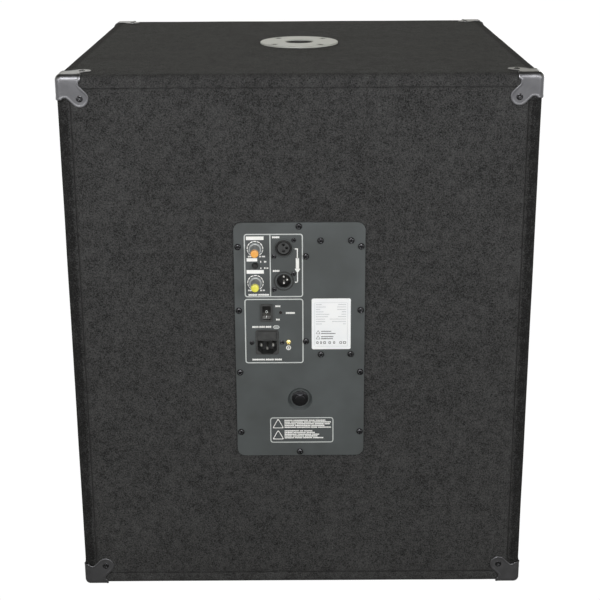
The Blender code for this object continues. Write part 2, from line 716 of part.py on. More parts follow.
# Finned block, main board and control board behind the plate.
def build_electronics(aluminium, board):
    left = -60 * MM
    right = -6 * MM
    base_back = PLATE_BACK - 6 * MM
    fin_back = PLATE_BACK - 38 * MM
    outline = [(left, PLATE_BACK - GAP), (right, PLATE_BACK - GAP), (right, base_back)]
    fins = 7
    pitch = (right - left) / (2 * fins - 1)
    for i in range(fins):
        start = right - 2 * i * pitch
        outline += [(start, base_back), (start, fin_back), (start - pitch, fin_back), (start - pitch, base_back)]
    outline = list(dict.fromkeys(outline))
    piece("heatsink", prism(outline, 342 * MM, 472 * MM, "Z"), aluminium, smooth=False)
    board_y = 196 * MM
    main = piece("amp_board", block((-64 * MM, board_y, 336 * MM), (64 * MM, board_y + 1.6 * MM, 482 * MM)), board,
                 smooth=False)
    fuse(
        main,
        disc(11 * MM, board_y - 26 * MM, board_y + 0.8 * MM, (-40 * MM, 450 * MM), "Y", 20),
        disc(11 * MM, board_y - 26 * MM, board_y + 0.8 * MM, (-12 * MM, 450 * MM), "Y", 20),
        disc(12 * MM, board_y - 14 * MM, board_y + 0.8 * MM, (30 * MM, 440 * MM), "Y", 20),
        block((20 * MM, board_y - 12 * MM, 350 * MM), (50 * MM, board_y + 0.8 * MM, 380 * MM)),
    )
    board_y = 222 * MM
    control = piece("control_board", block((42 * MM, board_y, 412 * MM), (64 * MM, board_y + 1.6 * MM, 476 * MM)),
                    board, smooth=False)
    pots = []
    for z in (LEVEL_Z, CROSSOVER_Z):
        pots.append(block((KNOB_X - 8 * MM, board_y + 0.8 * MM, z - 8 * MM),
                          (KNOB_X + 8 * MM, board_y + 10 * MM, z + 8 * MM)))
    pots.append(block((KNOB_X - 4 * MM, board_y + 0.8 * MM, PHASE_Z - 4 * MM),
                      (KNOB_X + 4 * MM, board_y + 9 * MM, PHASE_Z + 4 * MM)))
    fuse(control, *pots)


# Three contacts at the top, on the +X side and at the bottom, about the socket's axis. The plug's key is to -X.
def contact_places(centre_x, centre_z):
    reach = 3.6 * MM
    return [(centre_x, centre_z + reach), (centre_x - reach, centre_z), (centre_x, centre_z - reach)]


def build_sockets(black):
    body_back = PLATE_BACK - 20 * MM
    nose = PLATE_FRONT + 0.6 * MM
    female = [
        (0, body_back),
        (11.5 * MM, body_back),
        (11.5 * MM, PLATE_BACK - GAP),
        (9.7 * MM, PLATE_BACK - GAP),
        (9.7 * MM, nose),
        (8 * MM, nose),
        (7.6 * MM, nose - 1 * MM),
        (7.6 * MM, nose - 12 * MM),
        (6 * MM, nose - 12 * MM),
        (6 * MM, nose - 1.2 * MM),
        (0, nose - 1.2 * MM),
    ]
    socket = piece("input_xlr", turned(female, (XLR_X, INPUT_Z), "Y"), black)
    contacts = [disc(1.3 * MM, nose - 9 * MM, nose + 3 * MM, place, "Y", 12)
                for place in contact_places(XLR_X, INPUT_Z)]
    cut(socket, *contacts)
    nose = PLATE_FRONT + 0.3 * MM
    male = [
        (0, body_back),
        (11.5 * MM, body_back),
        (11.5 * MM, PLATE_BACK - GAP),
        (8.4 * MM, PLATE_BACK - GAP),
        (8.4 * MM, nose),
        (7.9 * MM, nose),
        (7.9 * MM, nose - 14 * MM),
        (0, nose - 14 * MM),
    ]
    socket = piece("thru_xlr", turned(male, (XLR_X, THRU_Z), "Y"), black)
    pins = [turned([(0, nose - 16 * MM), (1.2 * MM, nose - 16 * MM), (1.2 * MM, nose - 3 * MM),
                    (0.5 * MM, nose - 2.2 * MM), (0, nose - 2.2 * MM)], place, "Y", 12)
            for place in contact_places(XLR_X, THRU_Z)]
    fuse(socket, *pins)


# Skirted knob on its shaft, with a coloured cap pressed into its end. Both turn about the shaft.
def build_knobs(grey, orange, yellow):
    skirt_low = PLATE_FRONT + 0.8 * MM
    tip = REAR + KNOB_REACH
    shaft_end = 232.6 * MM
    for word, z, colour in (("level", LEVEL_Z, orange), ("crossover", CROSSOVER_Z, yellow)):
        origin = (KNOB_X, skirt_low, z)
        profile = [
            (0, shaft_end),
            (3 * MM, shaft_end),
            (3 * MM, skirt_low),
            (7.5 * MM, skirt_low),
            (7.5 * MM, skirt_low + 1.8 * MM),
            (5.9 * MM, skirt_low + 3.4 * MM),
            (5.3 * MM, tip - 0.8 * MM),
            (4.6 * MM, tip - 0.8 * MM),
            (4.6 * MM, tip - 2.6 * MM),
            (0, tip - 2.6 * MM),
        ]
        knob = piece(f"{word}_knob", turned(profile, (KNOB_X, z), "Y", 20), grey, origin=origin)
        pointer = block((KNOB_X - 0.5 * MM, skirt_low + 0.4 * MM, z + 4 * MM),
                        (KNOB_X + 0.5 * MM, tip - 4 * MM, z + 6.2 * MM))
        fuse(knob, pointer)
        cap = turned([(0, tip - 2.3 * MM), (4.3 * MM, tip - 2.3 * MM), (4.3 * MM, tip - 0.6 * MM),
                      (3.7 * MM, tip), (0, tip)], (KNOB_X, z), "Y", 20)
        piece(f"{word}_cap", cap, colour, origin=origin)


def build_button(black):
    front = PLATE_FRONT + 4 * MM
    back = 232 * MM + 2.8 * MM
    profile = [(0, back), (3.2 * MM, back), (3.2 * MM, front - 0.5 * MM), (2.7 * MM, front), (0, front)]
    piece("phase_button", turned(profile, (KNOB_X, PHASE_Z), "Y", 20), black, origin=(KNOB_X, front, PHASE_Z))


# Rocker frame: a bezel over the plate and a hollow body through it. The rocker sits in it on an axis along X, with
# its upper half pressed in.
def build_rocker(black):
    bezel_front = PLATE_FRONT + 1.6 * MM
    body_back = PLATE_BACK - 14 * MM
    centre = (ROCKER_X, ROCKER_Z)
    bezel = rounded_rectangle(centre, 14.6 * MM, 22 * MM, 1.2 * MM, 2)
    frame = piece("rocker_frame", prism(bezel, PLATE_FRONT + 0.1 * MM, bezel_front, "Y"), black)
    body = rounded_rectangle(centre, 12 * MM, 19 * MM, 0.8 * MM, 2)
    fuse(frame, prism(body, body_back, PLATE_FRONT + 0.8 * MM, "Y"))
    opening = rounded_rectangle(centre, 10 * MM, 17 * MM, 0.3 * MM, 1)
    cut(frame, prism(opening, body_back + 1.5 * MM, bezel_front + 5 * MM, "Y"))
    pivot = (ROCKER_X, PLATE_FRONT - 2.4 * MM, ROCKER_Z)
    half = 7.6 * MM
    rest = math.radians(-9)
    outline = []
    face = []
    reach = 4.6 * MM
    dip = 1.4 * MM
    for a, b in ((-half, reach), (-half * 0.5, reach - 0.6 * dip), (0, reach - dip), (half * 0.5, reach - 0.6 * dip),
                 (half, reach)):
        face.append((a, b))
    for a, b in face + [(half - 0.8 * MM, 1 * MM), (3.5 * MM, -3.5 * MM), (-3.5 * MM, -3.5 * MM),
                        (-half + 0.8 * MM, 1 * MM)]:
        along = a * math.cos(rest) - b * math.sin(rest)
        out = a * math.sin(rest) + b * math.cos(rest)
        outline.append((pivot[1] + out, pivot[2] + along))
    rocker = prism(outline, ROCKER_X - 4.7 * MM, ROCKER_X + 4.7 * MM, "X")
    piece("power_rocker", rocker, black, origin=pivot, smooth=False)


# Mains inlet with three flat pins in a cavity whose lower corners are cut off, and a fuse drawer over it.
def build_inlet(black):
    nose = PLATE_FRONT + 0.4 * MM
    body = rounded_rectangle((INLET_X, INLET_Z), INLET_WIDTH, INLET_HEIGHT, 2.2 * MM, 2)
    inlet = piece("mains_inlet", prism(body, PLATE_BACK - 26 * MM, nose, "Y"), black)
    ears = rounded_rectangle((INLET_X, INLET_Z), 47 * MM, 22 * MM, 4 * MM, 2)
    fuse(inlet, prism(ears, PLATE_BACK - 4 * MM, PLATE_BACK - GAP, "Y"))
    low = CAVITY_Z - CAVITY_HEIGHT / 2
    high = CAVITY_Z + CAVITY_HEIGHT / 2
    half = CAVITY_WIDTH / 2
    corner = 5 * MM
    cavity = [
        (INLET_X - half, high),
        (INLET_X - half, low + corner),
        (INLET_X - half + corner, low),
        (INLET_X + half - corner, low),
        (INLET_X + half, low + corner),
        (INLET_X + half, high),
    ]
    drawer_half = DRAWER_WIDTH / 2 + GAP
    drawer_low = DRAWER_Z - DRAWER_HEIGHT / 2 - GAP
    drawer_high = DRAWER_Z + DRAWER_HEIGHT / 2 + GAP
    cut(
        inlet,
        prism(cavity, nose - 17 * MM, nose + 5 * MM, "Y"),
        block((INLET_X - drawer_half, nose - 24 * MM, drawer_low), (INLET_X + drawer_half, nose + 5 * MM, drawer_high)),
    )
    pins = []
    for x, z in ((-7, 2), (7, 2), (0, -2)):
        pins.append(block((INLET_X + (x - 1) * MM, nose - 18 * MM, CAVITY_Z + (z - 2) * MM),
                          (INLET_X + (x + 1) * MM, nose - 2 * MM, CAVITY_Z + (z + 2) * MM)))
    fuse(inlet, *pins)
    half = DRAWER_WIDTH / 2
    drawer = block((INLET_X - half, nose - 23 * MM, DRAWER_Z - DRAWER_HEIGHT / 2),
                   (INLET_X + half, nose + 0.6 * MM, DRAWER_Z + DRAWER_HEIGHT / 2))
    slide = piece("fuse_drawer", drawer, black, origin=(INLET_X, nose + 0.6 * MM, DRAWER_Z), smooth=False)
    channel = block((INLET_X - half + 1.5 * MM, nose - 21.5 * MM, DRAWER_Z - 2.9 * MM),
                    (INLET_X + half - 1.5 * MM, nose - 2 * MM, DRAWER_Z + 10 * MM))
    cut(slide, channel)


def build_small_parts(red, brass, paper):
    lamp = [
        (0, PLATE_BACK - 5 * MM),
        (1.6 * MM, PLATE_BACK - 5 * MM),
        (1.6 * MM, PLATE_FRONT + 0.3 * MM),
        (1.1 * MM, PLATE_FRONT + 1.1 * MM),
        (0, PLATE_FRONT + 1.4 * MM),
    ]
    piece("power_lamp", turned(lamp, (LAMP_X, LAMP_Z), "Y", 16), red)
    screw = [
        (0, PLATE_BACK - 8 * MM),
        (2 * MM, PLATE_BACK - 8 * MM),
        (2 * MM, PLATE_FRONT + 0.2 * MM),
        (3.4 * MM, PLATE_FRONT + 0.2 * MM),
        (3.4 * MM, PLATE_FRONT + 1.4 * MM),
        (2.4 * MM, PLATE_FRONT + 2.2 * MM),
        (0, PLATE_FRONT + 2.2 * MM),
    ]
    head = piece("earth_screw", turned(screw, (EARTH_X, EARTH_Z), "Y", 20), brass)
    slot = block((EARTH_X - 5 * MM, PLATE_FRONT + 1.2 * MM, EARTH_Z - 0.4 * MM),
                 (EARTH_X + 5 * MM, PLATE_FRONT + 4 * MM, EARTH_Z + 0.4 * MM))
    cut(head, slot)
    outline = rounded_rectangle((LABEL_X, LABEL_Z), LABEL_WIDTH, LABEL_HEIGHT, 1.5 * MM, 2)
    piece("rating_label", prism(outline, PLATE_FRONT + 0.05 * MM, PLATE_FRONT + 0.25 * MM, "Y"), paper)


def main():
    clear_scene()
    wood = material("plywood", (0.52, 0.38, 0.22), 0.7)
    baffle_paint = material("baffle_paint", (0.015, 0.015, 0.016), 0.6)
    carpet = material("felt_carpet", (0.035, 0.034, 0.033), 0.95)
    protector_steel = material("protector_steel", (0.12, 0.12, 0.12), 0.45, 0.8)
    flange_enamel = material("flange_enamel", (0.48, 0.48, 0.45), 0.4)
    rubber = material("rubber", (0.02, 0.02, 0.02), 0.8)
    handle_plastic = material("handle_plastic", (0.02, 0.02, 0.021), 0.5)
    grille_steel = material("grille_steel", (0.02, 0.02, 0.02), 0.5, 0.3)
    foam = material("acoustic_foam", (0.01, 0.01, 0.01), 0.95)
    cast = material("cast_aluminium", (0.04, 0.04, 0.042), 0.55, 0.5)
    plated = material("plated_steel", (0.45, 0.45, 0.44), 0.35, 1.0)
    ferrite = material("ferrite", (0.03, 0.03, 0.032), 0.6)
    paper = material("cone_paper", (0.025, 0.025, 0.026), 0.85)
    cap_paper = material("cap_paper", (0.03, 0.03, 0.031), 0.75)
    coil = material("coil_copper", (0.6, 0.28, 0.12), 0.4, 0.9)
    surround_rubber = material("surround_rubber", (0.018, 0.018, 0.018), 0.7)
    cloth = material("spider_cloth", (0.55, 0.42, 0.18), 0.9)
    port_plastic = material("port_plastic", (0.015, 0.015, 0.015), 0.5)
    plate_paint = material("plate_paint", (0.07, 0.074, 0.073), 0.5)
    tape = material("transformer_tape", (0.5, 0.42, 0.1), 0.5)
    aluminium = material("heatsink_aluminium", (0.6, 0.6, 0.6), 0.4, 1.0)
    circuit_board = material("circuit_board", (0.02, 0.12, 0.05), 0.5)
    black = material("black_nylon", (0.012, 0.012, 0.013), 0.4)
    grey = material("knob_grey", (0.16, 0.165, 0.17), 0.5)
    orange = material("cap_orange", (0.91, 0.41, 0.07), 0.45)
    yellow = material("cap_yellow", (0.9, 0.85, 0.1), 0.45)
    red = material("lamp_red", (0.35, 0.03, 0.03), 0.25)
    brass = material("brass", (0.75, 0.55, 0.22), 0.3, 1.0)
    label_paper = material("label_paper", (0.85, 0.85, 0.85), 0.6)

    build_boards(wood)
    build_inset_boards(wood, carpet, baffle_paint)
    build_carpet_wrap(carpet)
    build_protectors(protector_steel)
    build_pole_socket(flange_enamel)
    build_feet(rubber)
    build_handles(handle_plastic, rubber)
    build_grille(grille_steel, foam)
    build_basket(cast)
    build_motor(plated, ferrite)
    build_moving_parts(paper, cap_paper, coil, surround_rubber, cloth)
    build_ports(port_plastic)
    build_amp_plate(plate_paint)
    build_transformer(plated, tape, plated)
    build_electronics(aluminium, circuit_board)
    build_sockets(black)
    build_knobs(grey, orange, yellow)
    build_button(black)
    build_rocker(black)
    build_inlet(black)
    build_small_parts(red, brass, label_paper)


main()
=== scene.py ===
import json
import math

import bmesh
import bpy
import numpy as np
from mathutils import Matrix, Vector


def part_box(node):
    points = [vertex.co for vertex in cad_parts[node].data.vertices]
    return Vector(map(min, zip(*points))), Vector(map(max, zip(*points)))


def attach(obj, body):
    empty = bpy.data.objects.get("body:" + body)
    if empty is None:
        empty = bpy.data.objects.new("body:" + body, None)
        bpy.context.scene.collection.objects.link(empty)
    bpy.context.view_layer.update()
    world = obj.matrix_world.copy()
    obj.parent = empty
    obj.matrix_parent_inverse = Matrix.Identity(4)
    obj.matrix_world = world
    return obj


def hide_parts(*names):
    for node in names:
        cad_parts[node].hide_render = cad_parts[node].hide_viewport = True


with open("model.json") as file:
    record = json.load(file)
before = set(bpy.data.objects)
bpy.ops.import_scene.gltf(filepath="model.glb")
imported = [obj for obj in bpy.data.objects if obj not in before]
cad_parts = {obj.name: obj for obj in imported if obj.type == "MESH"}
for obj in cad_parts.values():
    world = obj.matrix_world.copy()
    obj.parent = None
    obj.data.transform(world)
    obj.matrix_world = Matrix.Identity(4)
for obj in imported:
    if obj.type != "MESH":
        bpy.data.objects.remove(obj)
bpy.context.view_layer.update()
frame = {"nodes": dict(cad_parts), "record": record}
nodes = frame["nodes"]
mm = 0.001
print("frame loaded:", len(nodes), "nodes")


# small tools

def linear(hexText):  # sRGB hex text to a linear colour with alpha
    parts = [int(hexText[i:i + 2], 16) / 255 for i in (1, 3, 5)]
    return tuple(c / 12.92 if c <= 0.04045 else ((c + 0.055) / 1.055) ** 2.4 for c in parts) + (1.0,)


def addNode(tree, kind, inputs=(), **settings):  # a node, its settings, and a value or a link for each input
    node = tree.nodes.new("ShaderNode" + kind)
    for key, value in settings.items():
        setattr(node, key, value)
    for key, value in dict(inputs).items():
        if isinstance(value, bpy.types.NodeSocket):
            tree.links.new(value, node.inputs[key])
        else:
            node.inputs[key].default_value = value
    return node


def low(node):
    return np.array(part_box(node)[0])


def high(node):
    return np.array(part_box(node)[1])


def middle(node):
    return (low(node) + high(node)) / 2


# Columns are where a local right, up and outward direction point, seen square on from that side.
sides = {
    "rear": np.array([(-1, 0, 0), (0, 0, 1), (0, 1, 0)], float),
    "front": np.array([(1, 0, 0), (0, 0, 1), (0, -1, 0)], float),
    "top": np.array([(1, 0, 0), (0, 1, 0), (0, 0, 1)], float),
    "under": np.array([(1, 0, 0), (0, -1, 0), (0, 0, -1)], float),
    "right": np.array([(0, 1, 0), (0, 0, 1), (1, 0, 0)], float),
    "left": np.array([(0, -1, 0), (0, 0, 1), (-1, 0, 0)], float),
}


def place(points, centre, side):  # local right, up, out to the frame
    return np.asarray(points, float) @ sides[side] + np.asarray(centre, float)


def gridFaces(rows, cols, wrapRows=False, wrapCols=False):  # quads of a grid whose points run row by row
    r = np.arange(rows if wrapRows else rows - 1)[:, None]
    c = np.arange(cols if wrapCols else cols - 1)[None, :]
    r2, c2 = (r + 1) % rows, (c + 1) % cols
    quads = np.stack([r * cols + c, r * cols + c2, r2 * cols + c2, r2 * cols + c], axis=-1)
    return quads.reshape(-1, 4)


def joinParts(parts):  # several (points, faces) into one
    points, faces, start = [], [], 0
    for p, f in parts:
        points.append(np.asarray(p, float).reshape(-1, 3))
        faces += [[i + start for i in face] for face in (f.tolist() if hasattr(f, "tolist") else f)]
        start += len(points[-1])
    return np.concatenate(points), faces


def makePiece(name, points, faces, material, body="cabinet", replaces=(), weld=0.0, sharp=35,
              wall=0.0):
    mesh = bpy.data.meshes.new(name)
    faces = faces.tolist() if hasattr(faces, "tolist") else faces
    mesh.from_pydata(np.asarray(points, float).reshape(-1, 3).tolist(), [], faces)
    if weld:
        shape = bmesh.new()
        shape.from_mesh(mesh)
        bmesh.ops.remove_doubles(shape, verts=shape.verts, dist=weld)
        bmesh.ops.dissolve_degenerate(shape, dist=weld, edges=shape.edges)
        shape.to_mesh(mesh)
        shape.free()
    mesh.validate()
    mesh.shade_smooth()
    mesh.set_sharp_from_angle(angle=math.radians(sharp))
    mesh.materials.append(material)
    obj = bpy.data.objects.new(name, mesh)
    bpy.context.scene.collection.objects.link(obj)
    if wall:
        thick = obj.modifiers.new("wall", "SOLIDIFY")
        thick.thickness = wall
        thick.offset = -1
    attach(obj, body)
    if replaces:
        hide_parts(*replaces)
    return obj


def turned(profile, count=64):  # (radius, height) pairs carried once round the local outward axis
    profile = np.asarray(profile, float)
    t = np.arange(count) / count * 2 * np.pi
    ring = np.stack([np.cos(t), np.sin(t)], axis=-1)
    points = np.empty((len(profile), count, 3))
    points[..., :2] = profile[:, None, :1] * ring[None]
    points[..., 2] = profile[:, None, 1]
    return points.reshape(-1, 3), gridFaces(len(profile), count, wrapCols=True)


def roundedRing(width, height, radius, corner=6, across=1, up=1):
    # a rounded rectangle, anticlockwise from its right side
    w, h = width / 2 - radius, height / 2 - radius
    t = np.linspace(0, np.pi / 2, corner + 1)
    arcs = [np.stack([sx * w + radius * np.cos(t + k), sy * h + radius * np.sin(t + k)], axis=-1)
            for sx, sy, k in ((1, 1, 0), (-1, 1, np.pi / 2), (-1, -1, np.pi), (1, -1, 1.5 * np.pi))]
    parts = []
    for i, arc in enumerate(arcs):
        steps = across if i % 2 == 0 else up
        share = np.arange(1, steps)[:, None] / steps
        parts += [arc, arc[-1] + (arcs[(i + 1) % 4][0] - arc[-1]) * share]
    return np.concatenate(parts)


def stackRings(rings, caps=True):  # rings of equal count joined in turn, with a flat face over each end
    rings = np.asarray(rings, float)
    levels, count = rings.shape[:2]
    faces = gridFaces(levels, count, wrapCols=True).tolist()
    if caps:
        faces.append(list(range(count))[::-1])
        faces.append([(levels - 1) * count + i for i in range(count)])
    return rings.reshape(-1, 3), faces


def flatRing(outline, height):
    return np.concatenate([outline, np.full((len(outline), 1), height)], axis=1)


# finishes

def speckle(tree, coordinates, size, detail=3.0, roughness=0.6):
    # noise with lumps of the given size in metres
    return addNode(tree, "TexNoise", {"Vector": coordinates, "Scale": 1 / size, "Detail": detail,
                                      "Roughness": roughness})


def makeFinish(name, dark, light, roughness, metallic, patch, grain, relief, detail=3.0, coat=0.0):
    # colour runs between two shades in patches, the gloss follows, and a fine grain stands up, all in mm
    material = bpy.data.materials.new(name)
    material.use_nodes = True
    tree = material.node_tree
    shader = tree.nodes["Principled BSDF"]
    place3d = addNode(tree, "TexCoord").outputs["Object"]
    large = speckle(tree, place3d, patch * mm, detail)
    ramp = addNode(tree, "ValToRGB", {"Fac": large.outputs["Fac"]})
    ramp.color_ramp.elements[0].position, ramp.color_ramp.elements[1].position = 0.35, 0.65
    ramp.color_ramp.elements[0].color, ramp.color_ramp.elements[1].color = linear(dark), linear(light)
    gloss = addNode(tree, "MapRange", {"Value": large.outputs["Fac"], "From Min": 0.3, "From Max": 0.7,
                                       "To Min": roughness[0], "To Max": roughness[1]})
    fine = speckle(tree, place3d, grain * mm, 2.0)
    bump = addNode(tree, "Bump", {"Height": fine.outputs["Fac"], "Distance": relief * mm, "Strength": 1.0})
    tree.links.new(ramp.outputs["Color"], shader.inputs["Base Color"])
    tree.links.new(gloss.outputs["Result"], shader.inputs["Roughness"])
    tree.links.new(bump.outputs["Normal"], shader.inputs["Normal"])
    shader.inputs["Metallic"].default_value = metallic
    shader.inputs["Coat Weight"].default_value = coat
    return material


feltSpec = {"dark": "#0d0d0d", "light": "#4d4d4e", "clump": 1.7, "fibre": 0.75, "tuft": 8.0, "cloud": 45.0,
            "relief": 0.9, "sideFrom": 260.0, "sideTo": 264.0, "sideShadeDepth": 0.12}


def makeFelt(name, spec):
    # needle-punched felt: short crossed fibres clump at about 2 mm, thicker and thinner every 8 mm, and
    # painted shade darkens it towards the sides
    material = bpy.data.materials.new(name)
    material.use_nodes = True
    tree = material.node_tree
    shader = tree.nodes["Principled BSDF"]
    where = addNode(tree, "TexCoord").outputs["Object"]
    clump = speckle(tree, where, spec["clump"] * mm, 2.0, 0.7)
    fibre = speckle(tree, where, spec["fibre"] * mm, 2.0, 0.6)
    cloud = speckle(tree, where, spec["cloud"] * mm, 2.0)
    tuft = speckle(tree, where, spec["tuft"] * mm, 3.0, 0.7)
    parts = addNode(tree, "SeparateXYZ", {"Vector": where})
    # painted shade: the felt turns darker from 260 to 264 mm out from the middle, and stays darker over the
    # side strips and side walls
    away = addNode(tree, "Math", {0: parts.outputs["X"]}, operation="ABSOLUTE")
    paintedSideShade = addNode(tree, "MapRange", {"Value": away.outputs[0],
                                          "From Min": spec["sideFrom"] * mm, "From Max": spec["sideTo"] * mm,
                                          "To Min": 0.0, "To Max": -spec["sideShadeDepth"]})
    both = addNode(tree, "Math", {0: clump.outputs["Fac"], 1: fibre.outputs["Fac"]}, operation="ADD")
    half = addNode(tree, "Math", {0: both.outputs[0], 1: 0.5}, operation="MULTIPLY")
    soft = addNode(tree, "MapRange", {"Value": cloud.outputs["Fac"], "From Min": 0.3, "From Max": 0.7,
                                      "To Min": -0.018, "To Max": 0.018})
    thick = addNode(tree, "MapRange", {"Value": tuft.outputs["Fac"], "From Min": 0.3, "From Max": 0.7,
                                       "To Min": -0.055, "To Max": 0.055})
    depth = addNode(tree, "Math", {0: soft.outputs["Result"], 1: thick.outputs["Result"]}, operation="ADD")
    tone = addNode(tree, "Math", {0: depth.outputs[0], 1: paintedSideShade.outputs["Result"]}, operation="ADD")
    total = addNode(tree, "Math", {0: half.outputs[0], 1: tone.outputs[0]}, operation="ADD")
    ramp = addNode(tree, "ValToRGB", {"Fac": total.outputs[0]})
    ramp.color_ramp.elements[0].position, ramp.color_ramp.elements[1].position = 0.36, 0.66
    ramp.color_ramp.elements[0].color = linear(spec["dark"])
    ramp.color_ramp.elements[1].color = linear(spec["light"])
    bump = addNode(tree, "Bump", {"Height": half.outputs[0], "Distance": spec["relief"] * mm,
                                  "Strength": 0.8})
    tree.links.new(ramp.outputs["Color"], shader.inputs["Base Color"])
    tree.links.new(bump.outputs["Normal"], shader.inputs["Normal"])
    shader.inputs["Roughness"].default_value = 0.95
    shader.inputs["Specular IOR Level"].default_value = 0.2
    return material


felt = makeFelt("needle_felt", feltSpec)
# each: name, two shades, roughness from and to, metallic, then patch, grain and relief in mm
finishes = {
    "plywood": makeFinish("birch_plywood", "#8f6f47", "#b08d5f", (0.5, 0.65), 0.0, 25, 1.2, 0.08),
    "baffle_paint": makeFinish("black_painted_plywood", "#151516", "#1d1d1e", (0.5, 0.65), 0.0, 20, 1.5,
                               0.08),
    "felt_carpet": felt,
    "protector_steel": makeFinish("grey_lacquered_steel", "#616164", "#68686b", (0.34, 0.40), 0.9, 14, 0.7,
                                  0.012),
    "flange_enamel": makeFinish("grey_enamelled_steel", "#b6b8b4", "#bfc1bd", (0.38, 0.48), 0.0, 18, 1.0,
                                0.02),
    "rubber": makeFinish("moulded_rubber", "#161616", "#1e1e1e", (0.65, 0.8), 0.0, 10, 0.8, 0.05),
    "handle_plastic": makeFinish("textured_polypropylene", "#171718", "#1f1f20", (0.45, 0.6), 0.0, 12, 1.0,
                                 0.12),
    "grille_steel": makeFinish("black_powder_coat", "#161617", "#1e1e1f", (0.45, 0.6), 0.0, 15, 0.9, 0.05),
    "acoustic_foam": makeFinish("open_cell_foam", "#0b0b0b", "#1a1a1a", (0.9, 1.0), 0.0, 2.0, 1.6, 0.8),
    "cast_aluminium": makeFinish("coated_casting", "#1b1c1e", "#232427", (0.5, 0.6), 0.0, 8, 1.2, 0.1),
    "plated_steel": makeFinish("zinc_plated_steel", "#9c9c98", "#c4c4bf", (0.28, 0.4), 1.0, 7, 0.8, 0.02),
    "ferrite": makeFinish("sintered_ferrite", "#2b2b2d", "#37373a", (0.6, 0.7), 0.0, 9, 0.8, 0.06),
    "cone_paper": makeFinish("pressed_paper_pulp", "#1d1d1e", "#2b2b2c", (0.8, 0.9), 0.0, 4, 1.5, 0.2),
    "cap_paper": makeFinish("coated_paper", "#202021", "#2c2c2d", (0.6, 0.75), 0.0, 5, 1.5, 0.1),
    "coil_copper": makeFinish("enamelled_copper", "#b06a3c", "#cf8a58", (0.3, 0.4), 1.0, 3, 0.6, 0.1),
    "surround_rubber": makeFinish("treated_cloth_rubber", "#151515", "#1e1e1e", (0.6, 0.75), 0.0, 6, 1.0,
                                  0.08),
    "spider_cloth": makeFinish("phenolic_cloth", "#a07e3c", "#c09c58", (0.8, 0.9), 0.0, 4, 1.0, 0.2),
    "port_plastic": makeFinish("moulded_abs", "#131313", "#1a1a1a", (0.4, 0.55), 0.0, 12, 1.0, 0.05),
    "plate_paint": makeFinish("grey_powder_coated_steel", "#444849", "#4c5153", (0.40, 0.48), 0.0, 60, 1.1,
                              0.035),
    "transformer_tape": makeFinish("polyester_tape", "#b49a3c", "#ccb354", (0.25, 0.35), 0.0, 9, 2.0, 0.1),
    "heatsink_aluminium": makeFinish("extruded_aluminium", "#b6b6b4", "#cfcfcd", (0.3, 0.42), 1.0, 9, 1.0,
                                     0.04),
    "circuit_board": makeFinish("solder_mask", "#0f4a24", "#17602f", (0.3, 0.4), 0.0, 6, 1.5, 0.05),
    "black_nylon": makeFinish("black_nylon", "#121213", "#19191a", (0.38, 0.5), 0.0, 8, 0.8, 0.03),
    "knob_grey": makeFinish("grey_abs", "#7e8184", "#888b8e", (0.4, 0.5), 0.0, 6, 0.8, 0.03),
    "cap_orange": makeFinish("orange_abs", "#f6aa4c", "#fab65c", (0.35, 0.45), 0.0, 4, 0.8, 0.02),
    "cap_yellow": makeFinish("yellow_abs", "#ece54c", "#f3ee66", (0.35, 0.45), 0.0, 4, 0.8, 0.02),
    "lamp_red": makeFinish("tinted_lens", "#1c0e0e", "#261312", (0.12, 0.2), 0.0, 2, 1.0, 0.01, coat=0.5),
    "brass": makeFinish("turned_brass", "#e6d08c", "#f3e2a4", (0.22, 0.34), 1.0, 3, 0.6, 0.02),
    "label_paper": makeFinish("matt_film", "#f6f8fd", "#fbfcff", (0.45, 0.55), 0.0, 20, 0.8, 0.01),
}
blackScrew = makeFinish("black_zinc_screw", "#303032", "#3a3a3c", (0.16, 0.22), 0.95, 2.5, 0.6, 0.02)
inkGrey = makeFinish("grey_screen_ink", "#c4c8c8", "#cdd1d1", (0.5, 0.6), 0.0, 12, 0.7, 0.01)
inkWhite = makeFinish("white_screen_ink", "#f4f4f2", "#ffffff", (0.5, 0.6), 0.0, 12, 0.7, 0.01)
inkDark = makeFinish("black_label_ink", "#3a3a3c", "#4a4a4c", (0.5, 0.6), 0.0, 12, 0.7, 0.01)
darkTube = makeFinish("black_steel_tube", "#191918", "#22221f", (0.45, 0.6), 0.0, 12, 0.9, 0.03)
inkPale = makeFinish("pale_screen_ink", "#cfd3d3", "#dadddd", (0.5, 0.6), 0.0, 12, 0.7, 0.01)
inkFaint = makeFinish("grey_label_ink", "#bfc2c8", "#cacdd2", (0.5, 0.6), 0.0, 12, 0.7, 0.01)
insertGrey = makeFinish("grey_nylon", "#2c2d2e", "#343536", (0.45, 0.55), 0.0, 5, 0.8, 0.03)
inletGrey = makeFinish("glass_filled_nylon", "#303132", "#383939", (0.42, 0.55), 0.0, 5, 0.8, 0.04)
collarGrey = makeFinish("dark_painted_casting", "#2b2d2d", "#323434", (0.35, 0.45), 0.0, 6, 0.8, 0.03)
deepBlack = makeFinish("black_acetal", "#050505", "#090909", (0.35, 0.5), 0.0, 6, 0.8, 0.02)
brightPin = makeFinish("silver_plated_brass", "#ececea", "#fafaf6", (0.3, 0.4), 0.25, 3, 0.5, 0.01)
glossBlack = makeFinish("polished_black_nylon", "#070707", "#0b0b0b", (0.16, 0.24), 0.0, 6, 0.8, 0.01)
lightRing = makeFinish("light_grey_abs", "#a9adb0", "#b8bcbe", (0.35, 0.45), 0.0, 6, 0.8, 0.02)
for row in frame["record"]["subparts"]:
    mesh = nodes[row["node"]].data
    for i in range(max(1, len(mesh.materials))):
        if len(mesh.materials) <= i:
            mesh.materials.append(finishes[row["material_slot"]])
        mesh.materials[i] = finishes[row["material_slot"]]
for word in ("mains_inlet", "fuse_drawer", "rocker_frame"):
    nodes[word].data.materials[0] = inletGrey
nodes["power_rocker"].data.materials[0] = glossBlack
print("finishes made")


# camera and studio

